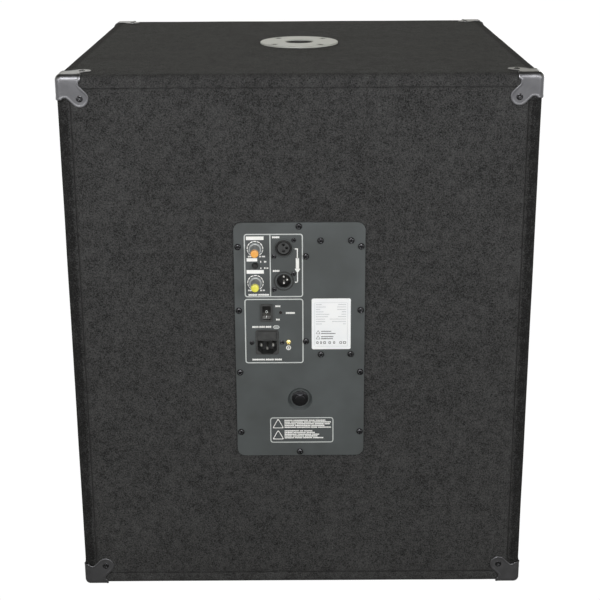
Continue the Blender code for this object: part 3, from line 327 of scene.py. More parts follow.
cameraSpec = {
    "place": (1.18, 1629.96, 890.26), "lens": 74.44, "shift": -0.1,
    "right": (-0.999985, 0.002090, -0.004974),
    "up": (-0.005365, -0.287776, 0.957682),
    "forward": (-0.000570, -0.957695, -0.287783),
}


def addCamera(spec):
    data = bpy.data.cameras.new("camera")
    data.lens, data.sensor_width, data.shift_y = spec["lens"], 36, spec["shift"]
    obj = bpy.data.objects.new("camera", data)
    bpy.context.scene.collection.objects.link(obj)
    columns = [spec["right"], spec["up"], [-c for c in spec["forward"]]]
    turn = Matrix(columns).transposed().to_4x4()
    obj.matrix_world = Matrix.Translation([c * mm for c in spec["place"]]) @ turn
    bpy.context.scene.camera = obj


addCamera(cameraSpec)

lightSpec = {
    "key": {"place": (-1.7, 2.3, 1.35), "size": 0.9, "power": 24},
    "fill": {"place": (1.8, 2.2, 1.2), "size": 0.9, "power": 18.5},
    "glint": {"place": (0.1, 1.9, 1.75), "size": 0.9, "power": 60, "onlyGloss": True},
    "back": {"place": (0.2, -2.0, 1.9), "size": 1.2, "power": 7},
    "front": {"place": (-0.9, -2.4, 0.33), "size": 0.6, "power": 22},
}
worldSpec = {"horizon": 1.02, "zenith": 0.06, "from": 0.16, "to": 0.72, "white": "#ffffff",
             "warm": "#fffce4", "warmFrom": 0.08, "warmTo": 0.4}


def addLights(spec):
    for name, s in spec.items():
        data = bpy.data.lights.new(name, "AREA")
        data.energy, data.size = s["power"], s["size"]
        obj = bpy.data.objects.new(name, data)
        bpy.context.scene.collection.objects.link(obj)
        place3d = np.array(s["place"])
        back = place3d - np.array([0, 0, 0.35])
        back /= np.linalg.norm(back)
        right = np.cross([0, 0, 1], back)
        right /= np.linalg.norm(right)
        up = np.cross(back, right)
        obj.matrix_world = Matrix.Translation(place3d) @ Matrix([right, up, back]).transposed().to_4x4()
        obj.visible_diffuse = not s.get("onlyGloss", False)  # a light that only draws highlights


def addWorld(spec):  # a white room with a darker and warmer ceiling
    world = bpy.data.worlds.new("room")
    bpy.context.scene.world = world
    world.use_nodes = True
    tree = world.node_tree
    direction = addNode(tree, "TexCoord").outputs["Generated"]
    parts = addNode(tree, "SeparateXYZ", {"Vector": direction})
    level = addNode(tree, "MapRange", {"Value": parts.outputs["Z"],
                                       "From Min": spec["from"], "From Max": spec["to"],
                                       "To Min": spec["horizon"], "To Max": spec["zenith"]},
                    interpolation_type="SMOOTHSTEP")
    tree.links.new(level.outputs["Result"], tree.nodes["Background"].inputs["Strength"])
    tint = addNode(tree, "ValToRGB", {"Fac": parts.outputs["Z"]})
    tint.color_ramp.elements[0].position = spec["warmFrom"]
    tint.color_ramp.elements[1].position = spec["warmTo"]
    tint.color_ramp.elements[0].color = linear(spec["white"])
    tint.color_ramp.elements[1].color = linear(spec["warm"])
    tree.links.new(tint.outputs["Color"], tree.nodes["Background"].inputs["Color"])


def addFloor(spec):
    # matt paper that gives a grey bounce, while the camera sees it as bright as the room around it
    line = np.linspace(-spec["half"], spec["half"], spec["rows"])
    x, y = np.meshgrid(line, line)
    points = np.stack([x, y, np.zeros_like(x)], axis=-1).reshape(-1, 3)
    mesh = bpy.data.meshes.new("floor")
    mesh.from_pydata(points.tolist(), [], gridFaces(spec["rows"], spec["rows"]).tolist())
    paper = makeFinish("white_matt_paper", "#a6a6a6", "#acacac", (0.8, 0.9), 0.0, 400, 3, 0.02)
    tree = paper.node_tree
    glow = addNode(tree, "Emission", {"Strength": spec["glow"]})
    seen = addNode(tree, "LightPath").outputs["Is Camera Ray"]
    both = addNode(tree, "MixShader", {0: seen, 1: tree.nodes["Principled BSDF"].outputs["BSDF"],
                                       2: glow.outputs["Emission"]})
    tree.links.new(both.outputs[0], tree.nodes["Material Output"].inputs["Surface"])
    mesh.materials.append(paper)
    obj = bpy.data.objects.new("floor", mesh)
    bpy.context.scene.collection.objects.link(obj)


addLights(lightSpec)
addWorld(worldSpec)
addFloor({"half": 1.6, "rows": 13, "glow": 1.02})
bpy.context.scene.view_settings.view_transform = "Standard"
print("studio ready")


# felt over the cabinet

wrapSpec = {"edge": 8.5, "long": 7.0, "least": 0.8, "around": 7.0, "deep": 7.5, "wall": 2.2, "turnIn": 15.55,
            "rearDeep": 5.0, "frontDeep": 9.5, "gripHole": (84, 52), "poleHole": 36}


def feltSwell(points, depth):  # the felt dips by up to the depth, in soft waves from 60 to 200 mm long
    x, y, z = points[..., 0], points[..., 1], points[..., 2]
    wave = np.sin(x * 41 + 1.3 * np.sin(z * 23))
    wave = wave + np.sin(z * 53 + 1.7 * np.sin(y * 31 + x * 19))
    wave = wave + np.sin(y * 47 + z * 29)
    return -depth * (0.5 + wave / 6)


def feltWrap(spec):
    # rings of a rounded rectangle set in by the first number and back by the second, from the rear seam
    # over the edge, along the four walls, and over the front edge to the front seam
    a, b = low("carpet_wrap"), high("carpet_wrap")
    width, height = (b[0] - a[0]) / mm, (b[2] - a[2]) / mm
    depth = (b[1] - a[1]) / mm
    r, turnIn = spec["edge"], spec["turnIn"]
    t = np.linspace(0, np.pi / 2, 9)
    edge = [(turnIn, 1.2), (turnIn - 0.35, 0.5), (turnIn - 1.0, 0.12), (turnIn - 2.2, 0.0), (r + 2, 0.0)]
    edge += [(r - r * math.sin(k), r - r * math.cos(k)) for k in t]
    walls = [(0.0, d) for d in np.linspace(r, depth - r, int((depth - 2 * r) / spec["deep"]) + 1)[1:-1]]
    profile = [(turnIn, spec["rearDeep"])] + edge + walls + [(i, depth - d) for i, d in reversed(edge)]
    profile.append((turnIn, depth - spec["frontDeep"]))
    across, up = int(width / spec["around"]), int(height / spec["around"])
    rings = []
    for inset, back in profile:
        ring = roundedRing(width - 2 * inset, height - 2 * inset, max(spec["long"] - inset, spec["least"]),
                           6, across, up)
        rings.append(np.stack([ring[:, 0], np.full(len(ring), -back), ring[:, 1]], axis=-1))
    points = np.array(rings) * mm + np.array([0, b[1], (a[2] + b[2]) / 2])
    along = np.roll(points, -1, axis=1) - np.roll(points, 1, axis=1)
    onward = np.gradient(points, axis=0)
    normal = np.cross(onward, along)
    normal /= np.maximum(np.linalg.norm(normal, axis=-1, keepdims=True), 1e-12)
    if (normal[len(edge) + 5, 0] @ np.array([1.0, 0, 0])) < 0:
        normal = -normal
    points += normal * feltSwell(points, 0.3 * mm)[..., None]
    faces = gridFaces(len(profile), points.shape[1], wrapCols=True)
    flat = points.reshape(-1, 3)
    centre = flat[faces].mean(axis=1)
    grip = middle("handle_cup_right")
    side = np.abs(centre[:, 0]) > b[0] - 2 * mm
    side = side & (np.abs(centre[:, 1] - grip[1]) < spec["gripHole"][0] * mm)
    side = side & (np.abs(centre[:, 2] - grip[2]) < spec["gripHole"][1] * mm)
    pole = middle("pole_socket")
    top = centre[:, 2] > b[2] - 2 * mm
    top = top & (np.hypot(centre[:, 0] - pole[0], centre[:, 1] - pole[1]) < spec["poleHole"] * mm)
    faces = faces[~(side | top)]
    return flat, faces


def facing(points, faces, towards):  # turns every face over if the first looks away from the given direction
    p = points[np.array(faces[len(faces) // 2])]
    n = np.cross(p[1] - p[0], p[2] - p[0])
    return faces if n @ (p.mean(axis=0) - np.asarray(towards)) > 0 else faces[:, ::-1]


points, faces = feltWrap(wrapSpec)
faces = facing(points, faces, middle("carpet_wrap"))
makePiece("felt_wrap", points, faces, felt, replaces=("carpet_wrap",),
          wall=wrapSpec["wall"] * mm, sharp=60)

panelSpec = {"step": 6.0, "wall": 2.0, "over": 0.35, "cutWide": 71.0, "cutHigh": 142.5}


def feltPanel(spec):
    # a flat sheet whose border rolls back by up to 2 mm, with the amplifier's opening left out
    a, b = low("carpet_rear") / mm, high("carpet_rear") / mm
    border = np.array([0, 0.3, 0.7, 1.3, 2.3])

    def line(start, end):
        count = int((end - start) / spec["step"])
        inner = np.linspace(start + 2.3, end - 2.3, count)[1:-1]
        return np.concatenate([start + border, inner, end - border[::-1]])

    over = spec["over"]  # the border runs this far under the turned-in wrap, so no gap shows
    xs, zs = line(a[0] - over, b[0] + over), line(a[2] - over, b[2] + over)
    x, z = np.meshgrid(xs, zs)
    away = np.minimum(np.minimum(x - xs[0], xs[-1] - x), np.minimum(z - zs[0], zs[-1] - z))
    roll = 2.0 * np.clip(1 - away / 2.3, 0, 1) ** 1.8
    points = np.stack([x, np.full_like(x, b[1]) - roll, z], axis=-1) * mm
    points[..., 1] += feltSwell(points, 0.25 * mm)
    flat = points.reshape(-1, 3)
    faces = gridFaces(len(zs), len(xs))
    centre = flat[faces].mean(axis=1) / mm
    plate = middle("amp_plate") / mm
    inside = np.abs(centre[:, 0] - plate[0]) < spec["cutWide"]
    inside = inside & (np.abs(centre[:, 2] - plate[2]) < spec["cutHigh"])
    return flat, faces[~inside]


points, faces = feltPanel(panelSpec)
faces = facing(points, faces, (0, 0, 0.35))
makePiece("felt_rear", points, faces, felt, replaces=("carpet_rear",),
          wall=panelSpec["wall"] * mm, sharp=60)
print("felt laid")


# corner protectors

protectorSpec = {"arm": 28.6, "tip": 3.0, "straight": 4.6, "notch": (25.6, 11.2), "lobe": 26.7,
                 "lobeRadius": 10.2, "radius": 6.0, "wall": 1.0}


def protectorEdge(spec):
    # from the end of one arm round its tip, into the notch, to the lobe and half round it, then mirrored
    arm, tip, straight = spec["arm"], spec["tip"], spec["straight"]
    lobe, big = spec["lobe"], spec["lobeRadius"]
    t = np.radians(np.linspace(0, 70, 7))[:, None]
    first = np.array([(arm, 0.0), (arm, straight / 2)])
    curl = np.array([arm - tip, straight]) + tip * np.concatenate([np.cos(t), np.sin(t)], axis=1)
    start = np.radians(-40)
    touch = np.array([lobe + big * np.cos(start), lobe + big * np.sin(start)])
    notch = np.array(spec["notch"])
    onLine = notch + (touch - notch) * 0.14
    k = np.linspace(0, 1, 6)[1:, None]
    dip = (1 - k) ** 2 * curl[-1] + 2 * k * (1 - k) * notch + k ** 2 * onLine
    run = onLine + (touch - onLine) * np.linspace(0, 1, 6)[1:-1, None]
    u = np.linspace(start, np.pi / 4, 13)[:, None]
    round2 = lobe + big * np.concatenate([np.cos(u), np.sin(u)], axis=1)
    half = np.concatenate([first, curl, dip, run, round2])
    return np.concatenate([half, half[-2::-1, ::-1]])


def protectorShell(spec):
    # one face: rings follow the edge inwards with a raised border, then shrink to the corner that all share;
    # a face point goes to the nearest point of a core set in by the radius, and out by radius and height
    edge = protectorEdge(spec)
    run = np.gradient(edge, axis=0)
    run[0], run[-1] = (0, 1), (-1, 0)
    normal = np.stack([run[:, 1], -run[:, 0]], axis=1)
    normal /= np.linalg.norm(normal, axis=1, keepdims=True)
    border = [(0, 0.25), (0, 0.75), (0.2, 1.02), (0.55, 1.14), (1.0, 1.18), (1.9, 1.18), (2.5, 0.98),
              (3.0, 0.92)]
    rings = [(edge - normal * w, h) for w, h in border]
    inner = rings[-1][0]
    rings += [(inner * f, 0.92) for f in (1 - np.linspace(0, 1, 19)[1:])]
    grid = np.array([r for r, h in rings])
    heights = np.array([h for r, h in rings])[:, None] * np.ones(len(edge))
    return grid, heights


def ontoCorner(a, b, h, radius):
    core = np.stack([np.maximum(a, radius), np.maximum(b, radius), np.full_like(a, radius)], axis=-1)
    d = np.stack([np.minimum(a - radius, 0), np.minimum(b - radius, 0), np.full_like(a, -radius)], axis=-1)
    d /= np.linalg.norm(d, axis=-1, keepdims=True)
    return core + d * (radius + h)[..., None]


def screwHead(radius, height, cross=0.62, depth=0.7, wide=0.16, turn=0.0):
    # a low dome on a short rim, and a cross of two slots sunk into it that narrow towards the middle
    rows = np.array([0, 0.08, 0.16, 0.26, 0.36, 0.46, 0.56, 0.64, 0.74, 0.86, 0.95, 1.0, 1.0]) * radius
    t = np.arange(48) / 48 * 2 * np.pi
    r, ang = np.meshgrid(rows, t, indexing="ij")
    x, y = r * np.cos(ang), r * np.sin(ang)
    z = height * (0.25 + 0.75 * np.sqrt(np.clip(1 - (r / radius) ** 2, 0, 1)))
    z[-1] = 0
    a, b = np.abs(x * np.cos(turn) + y * np.sin(turn)), np.abs(-x * np.sin(turn) + y * np.cos(turn))
    for along, over in ((a, b), (b, a)):
        slot = np.clip((cross * radius - along) / (0.2 * radius), 0, 1)
        slot = slot * np.clip((wide * radius - over) / (0.08 * radius) + 0.5, 0, 1)
        z = np.minimum(z, np.where(slot > 0, z - depth * slot, z))
    return np.stack([x, y, z], axis=-1).reshape(-1, 3), gridFaces(len(rows), 48, wrapCols=True)


def screws(name, spots, radius, height, material, slot, body="cabinet", replaces=(), **more):
    # spots are (centre, side) pairs; each head is turned by its own amount
    parts = []
    for i, (centre, side) in enumerate(spots):
        p, f = screwHead(radius, height, turn=0.4 + 1.1 * i, **more)
        parts.append((place(p, centre, side), f))
    points, faces = joinParts(parts)
    return makePiece(name, points, faces, material, body, replaces, weld=1e-6, sharp=40)


def addProtectors(spec):
    grid, heights = protectorShell(spec)
    face = ontoCorner(grid[..., 0], grid[..., 1], heights, spec["radius"])
    quads = gridFaces(*grid.shape[:2])
    a, b = low("carpet_wrap"), high("carpet_wrap")
    for wordX, sx in (("left", -1), ("right", 1)):
        for wordY, sy in (("front", -1), ("rear", 1)):
            for wordZ, sz in (("bottom", -1), ("top", 1)):
                corner = np.array([b[0] if sx > 0 else a[0], b[1] if sy > 0 else a[1],
                                   b[2] if sz > 0 else a[2]])
                flip = np.array([-sx, -sy, -sz])
                parts, spots = [], []
                for k in range(3):
                    p = np.roll(face, k, axis=-1) * mm * flip + corner
                    f = quads if sx * sy * sz > 0 else quads[:, ::-1]
                    parts.append((p.reshape(-1, 3), f))
                    normalAxis = (2 + k) % 3
                    spot = np.full(3, spec["lobe"]) * mm
                    spot[normalAxis] = -0.85 * mm
                    side = (("right", "left"), ("rear", "front"), ("top", "under"))[normalAxis]
                    spots.append((spot * flip + corner,
                                  side[0] if (sx, sy, sz)[normalAxis] > 0 else side[1]))
                points, faces = joinParts(parts)
                name = f"{wordZ}_{wordY}_{wordX}"
                makePiece("protector_" + name, points, faces, finishes["protector_steel"],
                          replaces=("corner_" + name,), weld=2e-5, sharp=50, wall=spec["wall"] * mm)
                screws("protector_screws_" + name, spots, 3.9 * mm, 1.0 * mm, blackScrew, "black_nylon",
                       depth=0.75 * mm)


addProtectors(protectorSpec)
print("protectors fitted")


# pole socket

poleSpec = {"boltRing": 42.0, "boltTurn": (41, 131, 221, 311), "pit": 5.8, "pitDepth": 1.5, "bore": 18.2,
            "flange": 51.0}


def addPoleSocket(spec):
    # a flange turned from its bore lip to its rim, with four cone-shaped pits for countersunk bolts
    a, b = low("pole_socket"), high("pole_socket")
    centre = np.array([(a[0] + b[0]) / 2, (a[1] + b[1]) / 2, b[2]])
    bore, rim = spec["bore"], spec["flange"]
    t = np.linspace(0, np.pi / 2, 5)
    lip = [(bore, -2.2), (bore, -1.4), (bore + 0.3, -0.8), (bore + 0.8, -0.25), (bore + 1.5, 0.0)]
    flat = [(r, 0.0) for r in np.linspace(bore + 3, rim - 1.6, 30)]
    edge = [(rim - 1.0 + math.sin(k), -1.0 + math.cos(k)) for k in t]
    profile = np.array(lip + flat + edge + [(rim, -2.3), (bore + 1.5, -2.4)])
    count = 240
    ang = np.arange(count) / count * 2 * np.pi
    r = profile[:, :1]
    x, y = r * np.cos(ang), r * np.sin(ang)
    z = profile[:, 1:] * np.ones(count)
    for turn in np.radians(spec["boltTurn"]):
        away = np.hypot(x - spec["boltRing"] * np.cos(turn), y - spec["boltRing"] * np.sin(turn))
        dip = spec["pitDepth"] * np.clip((spec["pit"] - away) / 1.6, 0, 1)
        z = np.where(z > -1.0, z - dip, z)
    points = np.stack([x, y, z], axis=-1)
    faces = gridFaces(len(profile), count, wrapRows=True, wrapCols=True)
    flatPoints = points.reshape(-1, 3)
    makePiece("pole_flange", place(flatPoints * mm, centre, "top"), faces, finishes["flange_enamel"],
              replaces=("pole_socket",), sharp=40)
    deep = (b[2] - a[2]) / mm
    tube = [(0, -deep + 3), (bore - 0.4, -deep + 3), (bore - 0.15, -deep + 4),
            (bore - 0.15, -1.7), (bore + 0.05, -1.5),
            (bore + 1.2, -2.5), (bore + 2.5, -3.0), (bore + 2.5, -deep), (0, -deep)]
    p, f = turned(np.array(tube) * mm, 64)
    makePiece("pole_tube", place(p, centre, "top"), f, darkTube, weld=1e-6)
    spots = []
    for turn in np.radians(spec["boltTurn"]):
        away = np.array([np.cos(turn), np.sin(turn), 0]) * spec["boltRing"] * mm
        spots.append((centre + away - np.array([0, 0, 1.5 * mm]), "top"))
    screws("pole_bolts", spots, 4.9 * mm, 1.2 * mm, deepBlack, "black_nylon", depth=0.9 * mm)


addPoleSocket(poleSpec)
print("pole socket fitted")


# amplifier plate: everything below is placed from the plate's centre, as seen from behind, in mm

plateCentre = middle("amp_plate")
plateFace = high("amp_plate")[1]
plateCentre[1] = plateFace


def onPlate(points, out=0.0):
    points = np.asarray(points, float)
    if points.shape[-1] == 2:
        points = np.concatenate([points, np.zeros(points.shape[:-1] + (1,))], axis=-1)
    return place((points + np.array([0, 0, out])) * mm, plateCentre, "rear")


plateScrewSpec = {
    "edge": [(-0.7, 144.0), (-0.7, -143.6)]
            + [(s * 72.2, v) for s in (-1, 1) for v in (119.3, 40.4, -38.6, -117.0)],
    "inner": [(24.6, 126.5), (60.4, 126.5), (7.4, 107.3), (7.1, 1.1), (25.0, -15.8), (60.6, -15.5)],
    "socket": [(-6.8, 127.2), (-29.9, 107.4), (-7.2, 85.9), (-30.0, 66.6)],
    "inlet": [(-57.3, -0.6), (-21.5, -0.2)],
}


def addPlateScrews(spec):
    for name, group, radius, height in (("plate_screws", spec["edge"] + spec["inner"], 3.8, 2.8),
                                        ("socket_screws", spec["socket"], 2.8, 1.6),
                                        ("inlet_screws", spec["inlet"], 2.7, 1.3)):
        spots = [(onPlate([(u, v)])[0], "rear") for u, v in group]
        screws(name, spots, radius * mm, height * mm, blackScrew, "black_nylon",
               depth=0.8 * mm * radius / 3.8)


addPlateScrews(plateScrewSpec)


# printed lines and bars: flat strips of ink that stand 0.06 mm off the paint

inkHeight = 0.06
inkSink = 0.03  # how far the ink reaches into the paint


def slab(outline):  # an outline in mm on the plate, given the ink's thickness
    outline = np.asarray(outline, float)
    return stackRings([flatRing(outline, -inkSink), flatRing(outline, inkHeight)])


def bar(u0, u1, v0, v1):
    return slab([(u0, v0), (u1, v0), (u1, v1), (u0, v1)])


def ringSlab(outer, inner):  # the strip between two outlines of equal count
    rings = [flatRing(outer, -inkSink), flatRing(outer, inkHeight), flatRing(inner, inkHeight),
             flatRing(inner, -inkSink)]
    return stackRings(rings, caps=False)[0], gridFaces(4, len(outer), wrapRows=True, wrapCols=True)


def frameLine(u0, u1, v0, v1, radius, width):
    # the strip between a rounded rectangle and one set in by the line width
    centre = np.array([(u0 + u1) / 2, (v0 + v1) / 2])
    return ringSlab(roundedRing(u1 - u0, v1 - v0, radius, 6) + centre,
                    roundedRing(u1 - u0 - 2 * width, v1 - v0 - 2 * width, radius - width, 6) + centre)


def arcLine(centre, radius, start, end, width, count=6):  # part of a ring, in degrees
    t = np.radians(np.linspace(start, end, count))
    ring = np.stack([np.cos(t), np.sin(t)], axis=1)
    outline = np.concatenate([ring * (radius + width / 2),
                              ring[::-1] * (radius - width / 2)]) + np.asarray(centre)
    return slab(outline)


def triangle(centre, wide, tall, width):  # an outlined triangle, point up, with blunt corners
    corner = np.array([(0.06, 0.64), (-0.06, 0.64), (-0.5, -0.28), (-0.46, -0.36), (0.46, -0.36),
                       (0.5, -0.28)])
    outer = corner * np.array([wide, tall])
    inner = outer * (1 - 2.6 * width / min(wide, tall))
    return ringSlab(outer + centre, inner + centre)


def words(u0, u1, v, tall, gaps=(), stroke=1.3):
    # a legend as plain blocks of uneven height with nothing to read, set closely, apart where the gaps stand
    ends = [u0] + [g for gap in gaps for g in (gap - 0.45, gap + 0.45)] + [u1]
    parts = []
    for i in range(0, len(ends), 2):
        count = max(1, round((ends[i + 1] - ends[i]) / stroke))
        step = (ends[i + 1] - ends[i]) / count
        for k in range(count):
            h = tall / 2 * (1.0, 0.84, 0.95, 0.78)[(k + i) % 4]
            parts.append(bar(ends[i] + k * step, ends[i] + (k + 0.82) * step, v - h, v + h))
    return parts


def printPiece(name, parts, material, out=0.0, body="cabinet"):
    points, faces = joinParts(parts)
    return makePiece(name, onPlate(points, out), faces, material, body, sharp=30)


knobU = -(middle("level_knob")[0] - plateCentre[0]) / mm
levelV = (middle("level_knob")[2] - plateCentre[2]) / mm
crossV = (middle("crossover_knob")[2] - plateCentre[2]) / mm
printSpec = {"frameWidth": 1.3, "corner": 3.4, "scaleRadius": 9.1, "scaleWidth": 1.1, "scaleTicks": 11}


def addPanelPrint(spec):
    wide, corner = spec["frameWidth"], spec["corner"]
    printPiece("panel_frames", [
        frameLine(-64.9, 4.0, 57.0, 135.0, corner, wide), bar(-35.0, -33.7, 57.8, 134.2),
        frameLine(-65.5, 4.2, -26.9, 54.9, corner, wide)], inkGrey)
    legend = [bar(-62.4, -41.8, 127.6, 131.9), bar(-62.0, -49.6, 101.4, 105.4),
              bar(-62.3, -42.0, 86.3, 90.8)]
    legend += words(-60.3, -56.2, 107.4, 1.9) + words(-47.0, -40.2, 107.4, 1.9, (-44.0,))
    legend += words(-60.8, -56.0, 65.6, 1.9) + words(-46.6, -40.8, 65.6, 1.9, (-43.6,))
    legend += words(-46.1, -44.7, 101.0, 2.2) + words(-41.6, -38.8, 101.0, 2.2)
    legend += words(-46.0, -44.6, 93.1, 1.8) + words(-41.6, -36.6, 93.1, 1.9, (-39.2,))
    legend += words(-60.4, -36.0, 60.0, 2.4, (-49.3,))
    legend += words(-31.9, -23.2, 130.8, 2.4) + words(-31.4, -23.5, 89.6, 2.4)
    legend += words(-28.8, -22.9, 45.6, 2.3) + words(-28.2, -23.8, 28.8, 2.3) + words(-16.6, -5.6, 37.1, 2.5)
    legend += words(-56.6, -34.0, 19.6, 2.5, (-48.6, -41.2))
    legend += words(-57.0, -21.6, -22.2, 2.3, (-41.6, -30.8))
    printPiece("panel_legends", legend, inkWhite)
    ticks = []
    for v in (levelV, crossV):
        for i in range(spec["scaleTicks"]):
            middleAngle = -45 + 270 * i / (spec["scaleTicks"] - 1)
            ticks.append(arcLine((knobU, v), spec["scaleRadius"], middleAngle - 10.8, middleAngle + 10.8,
                                 spec["scaleWidth"]))
    printPiece("knob_scales", ticks, inkWhite)
    printPiece("signal_arrow", [
        bar(-5.5, -1.9, 115.9, 117.1), bar(-3.1, -1.9, 104.0, 115.9), bar(-4.4, -0.6, 91.6, 105.2),
        slab([(-5.9, 92.2), (0.9, 92.2), (-1.4, 88.2), (-3.6, 88.2)]), bar(-3.1, -1.9, 75.0, 88.4),
        bar(-5.5, -1.9, 75.0, 76.2)], inkWhite)
    mark = np.array([(-32.4, 19.2), (-30.3, 17.0), (-25.9, 17.0), (-23.8, 19.2), (-25.9, 21.4),
                     (-30.3, 21.4)])
    centre = mark.mean(axis=0)
    printPiece("fuse_mark", [ringSlab(mark, (mark - centre) * np.array([0.72, 0.55]) + centre),
                             bar(-30.0, -26.2, 18.7, 19.7)],
               inkGrey)
    earth = [arcLine((-13.7, -7.2), 2.5, 60 * i, 60 * i + 60, 0.85) for i in range(6)]
    earth += [bar(-14.0, -13.4, -7.2, -5.6), bar(-15.2, -12.2, -7.8, -7.2), bar(-14.7, -12.7, -8.7, -8.2),
              bar(-14.2, -13.2, -9.4, -9.0)]
    printPiece("earth_mark", earth, inkWhite)
    printPiece("notice_frame", [frameLine(-36.8, 40.2, -131.6, -98.1, corner, 1.1)], inkGrey)
    notice = [triangle((-27.1, -108.1), 13.0, 11.8, 0.85), triangle((-27.1, -123.0), 13.0, 11.6, 0.85)]
    rows = ((-102.6, 30.6, (-9, 10, 18)), (-104.9, 37.2, (-12, 4, 14)), (-107.2, 36.0, (-5, 17, 29)),
            (-109.5, 29.4, (-7, 13)),
            (-111.8, 37.4, (-5, 12, 21)), (-116.6, 14.6, (-1, 4)), (-118.9, 17.6, (-9, 7)),
            (-121.2, 23.0, (-4, 14)), (-123.5, 21.0, (-10, 5)), (-125.8, 28.0, (-7, 3, 15)))
    for v, end, gaps in rows:
        notice += words(-19.3, end, v + 0.6, 1.75, gaps, 1.1)
    printPiece("notice_lines", notice, inkWhite)


addPanelPrint(printSpec)
print("panel printed")


# rating label: a film with round corners, a thin inner frame and plain rows of grey blocks

labelSpec = {"corner": 2.0, "thick": 0.28, "frame": (39.4, 55.4, 1.6, 0.28), "rows": 9, "first": 24.6,
             "step": 3.05}


def addLabel(spec):
    a, b = low("rating_label"), high("rating_label")
    centre = (a + b) / 2
    centre[1] = a[1]
    wide, tall = (b[0] - a[0]) / mm, (b[2] - a[2]) / mm
    insets = [(0.0, 0.0), (0.0, spec["thick"] - 0.08), (0.08, spec["thick"])]
    outline = [flatRing(roundedRing(wide - 2 * i, tall - 2 * i, spec["corner"] - i, 7, 6, 8), h) for i,
               h in insets]
    points, faces = stackRings(outline)
    makePiece("label_film", place(points * mm, centre, "rear"), faces, finishes["label_paper"],
              replaces=("rating_label",), sharp=40)
    w, h, corner, line = spec["frame"]
    parts = [frameLine(-w / 2, w / 2, -h / 2 - 0.6, h / 2 - 0.6, corner, line)]
    lefts = (7.0, 11.6, 5.0, 9.0, 15.8, 14.4, 11.0, 11.2, 7.2)
    rights = (9.4, 10.6, 10.6, 5.2, 5.6, 9.4, 19.4, 16.6, 3.4)
    for i in range(spec["rows"]):
        v = spec["first"] - spec["step"] * i
        parts += words(-18.0, -18.0 + lefts[i], v, 0.95, (), 0.9)
        parts += words(17.8 - rights[i], 17.8, v, 0.95, (), 0.9)
    marks = [triangle((-15.6, -11.0), 5.0, 4.4, 0.45), triangle((-15.6, -17.6), 5.0, 4.4, 0.45)]
    for v, ends in ((-9.2, (0.2,)), (-12.0, (5.2,)), (-16.0, (2.8,)), (-18.6, (2.0,))):
        marks += words(-11.8, ends[0], v, 1.15, (), 0.9)
    for u, wide in ((-16.4, 2.6), (-12.2, 2.2), (-7.8, 3.0), (-1.8, 2.6), (3.6, 2.2), (11.4, 3.0),
                    (16.0, 3.6)):
        marks.append(ringSlab(roundedRing(wide, 3.0, 0.6, 3) + np.array([u, -23.6]),
                              roundedRing(wide - 1.3, 1.7, 0.2, 3) + np.array([u, -23.6])))
    for name, group, ink in (("label_rows", parts, inkFaint), ("label_marks", marks, inkDark)):
        points, faces = joinParts(group)
        makePiece(name, place((points + [0, 0, spec["thick"]]) * mm, centre, "rear"), faces, ink)


addLabel(labelSpec)
print("label laid")


# knobs: a light skirt, a fluted grip that tapers, and a coloured cap with a pointer rib

knobSpec = {"gap": 0.35, "skirt": 7.4, "body": 5.9, "neck": 5.0, "flutes": 18, "cap": 4.65}


def addKnob(word, body, capFinish, spec):
    centre = middle(word + "_knob")
    centre[1] = low(word + "_knob")[1]
    tip = (high(word + "_cap")[1] - centre[1]) / mm
    foot = plateFace / mm - centre[1] / mm + spec["gap"]  # where the skirt clears the plate
    skirt = [(0, 0.0), (3.4, 0.0), (3.4, foot), (spec["skirt"] - 0.2, foot),
             (spec["skirt"], foot + 0.25), (spec["skirt"], foot + 1.5),
             (spec["skirt"] - 0.5, foot + 2.4), (spec["body"] + 0.2, foot + 2.9),
             (spec["body"] - 0.6, foot + 3.0), (0, foot + 3.0)]
    p, f = turned(np.array(skirt) * mm, 72)
    makePiece(word + "_skirt", place(p, centre, "rear"), f, lightRing, body,
              replaces=(word + "_knob",), weld=1e-6)
    # the radius drops by a twentieth in each of the flutes
    count = spec["flutes"] * 8
    t = np.arange(count) / count * 2 * np.pi
    start = foot + 2.8
    rows = np.array([(0, start), (spec["body"], start), (spec["body"], start + 0.7),
                     (spec["body"] - 0.25, start + 5),
                     (spec["neck"] + 0.3, tip - 5.2), (spec["neck"], tip - 4.6),
                     (spec["cap"] - 0.4, tip - 4.3), (0, tip - 4.3)])
    flute = 1 - 0.06 * (0.5 + 0.5 * np.cos(t * spec["flutes"])) ** 3
    shape = np.where((rows[:, 1:] > start + 0.3) & (rows[:, 1:] < tip - 4.5), flute[None], 1.0)
    grip = np.stack([rows[:, :1] * np.cos(t) * shape, rows[:, :1] * np.sin(t) * shape,
                     rows[:, 1:] * np.ones(count)], axis=-1)
    makePiece(word + "_grip", place(grip.reshape(-1, 3) * mm, centre, "rear"),
              gridFaces(len(rows), count, wrapCols=True),
              finishes["knob_grey"], body, weld=1e-6)
    cap = [(0, tip - 5.0), (spec["cap"], tip - 5.0), (spec["cap"], tip - 1.4),
           (spec["cap"] - 0.25, tip - 0.7),
           (spec["cap"] - 0.9, tip - 0.25), (spec["cap"] - 2.2, tip - 0.05), (0, tip)]
    rib = roundedRing(1.1, 3.6, 0.4, 4) + np.array([0, 2.2])
    points, faces = joinParts([turned(np.array(cap) * mm, 56),
                               stackRings([flatRing(rib, tip - 1.5) * mm, flatRing(rib, tip - 0.12) * mm])])
    makePiece(word + "_top", place(points, centre, "rear"), faces, finishes[capFinish], body,
              replaces=(word + "_cap",), weld=1e-6)


addKnob("level", "level_control", "cap_orange", knobSpec)
addKnob("crossover", "crossover_control", "cap_yellow", knobSpec)
print("knobs fitted")


# balanced audio sockets

socketSpec = {"collar": 11.9, "ring": 9.8, "mouth": 7.9, "pin": 4.0, "pinRadius": 1.15, "tip": -3.4}


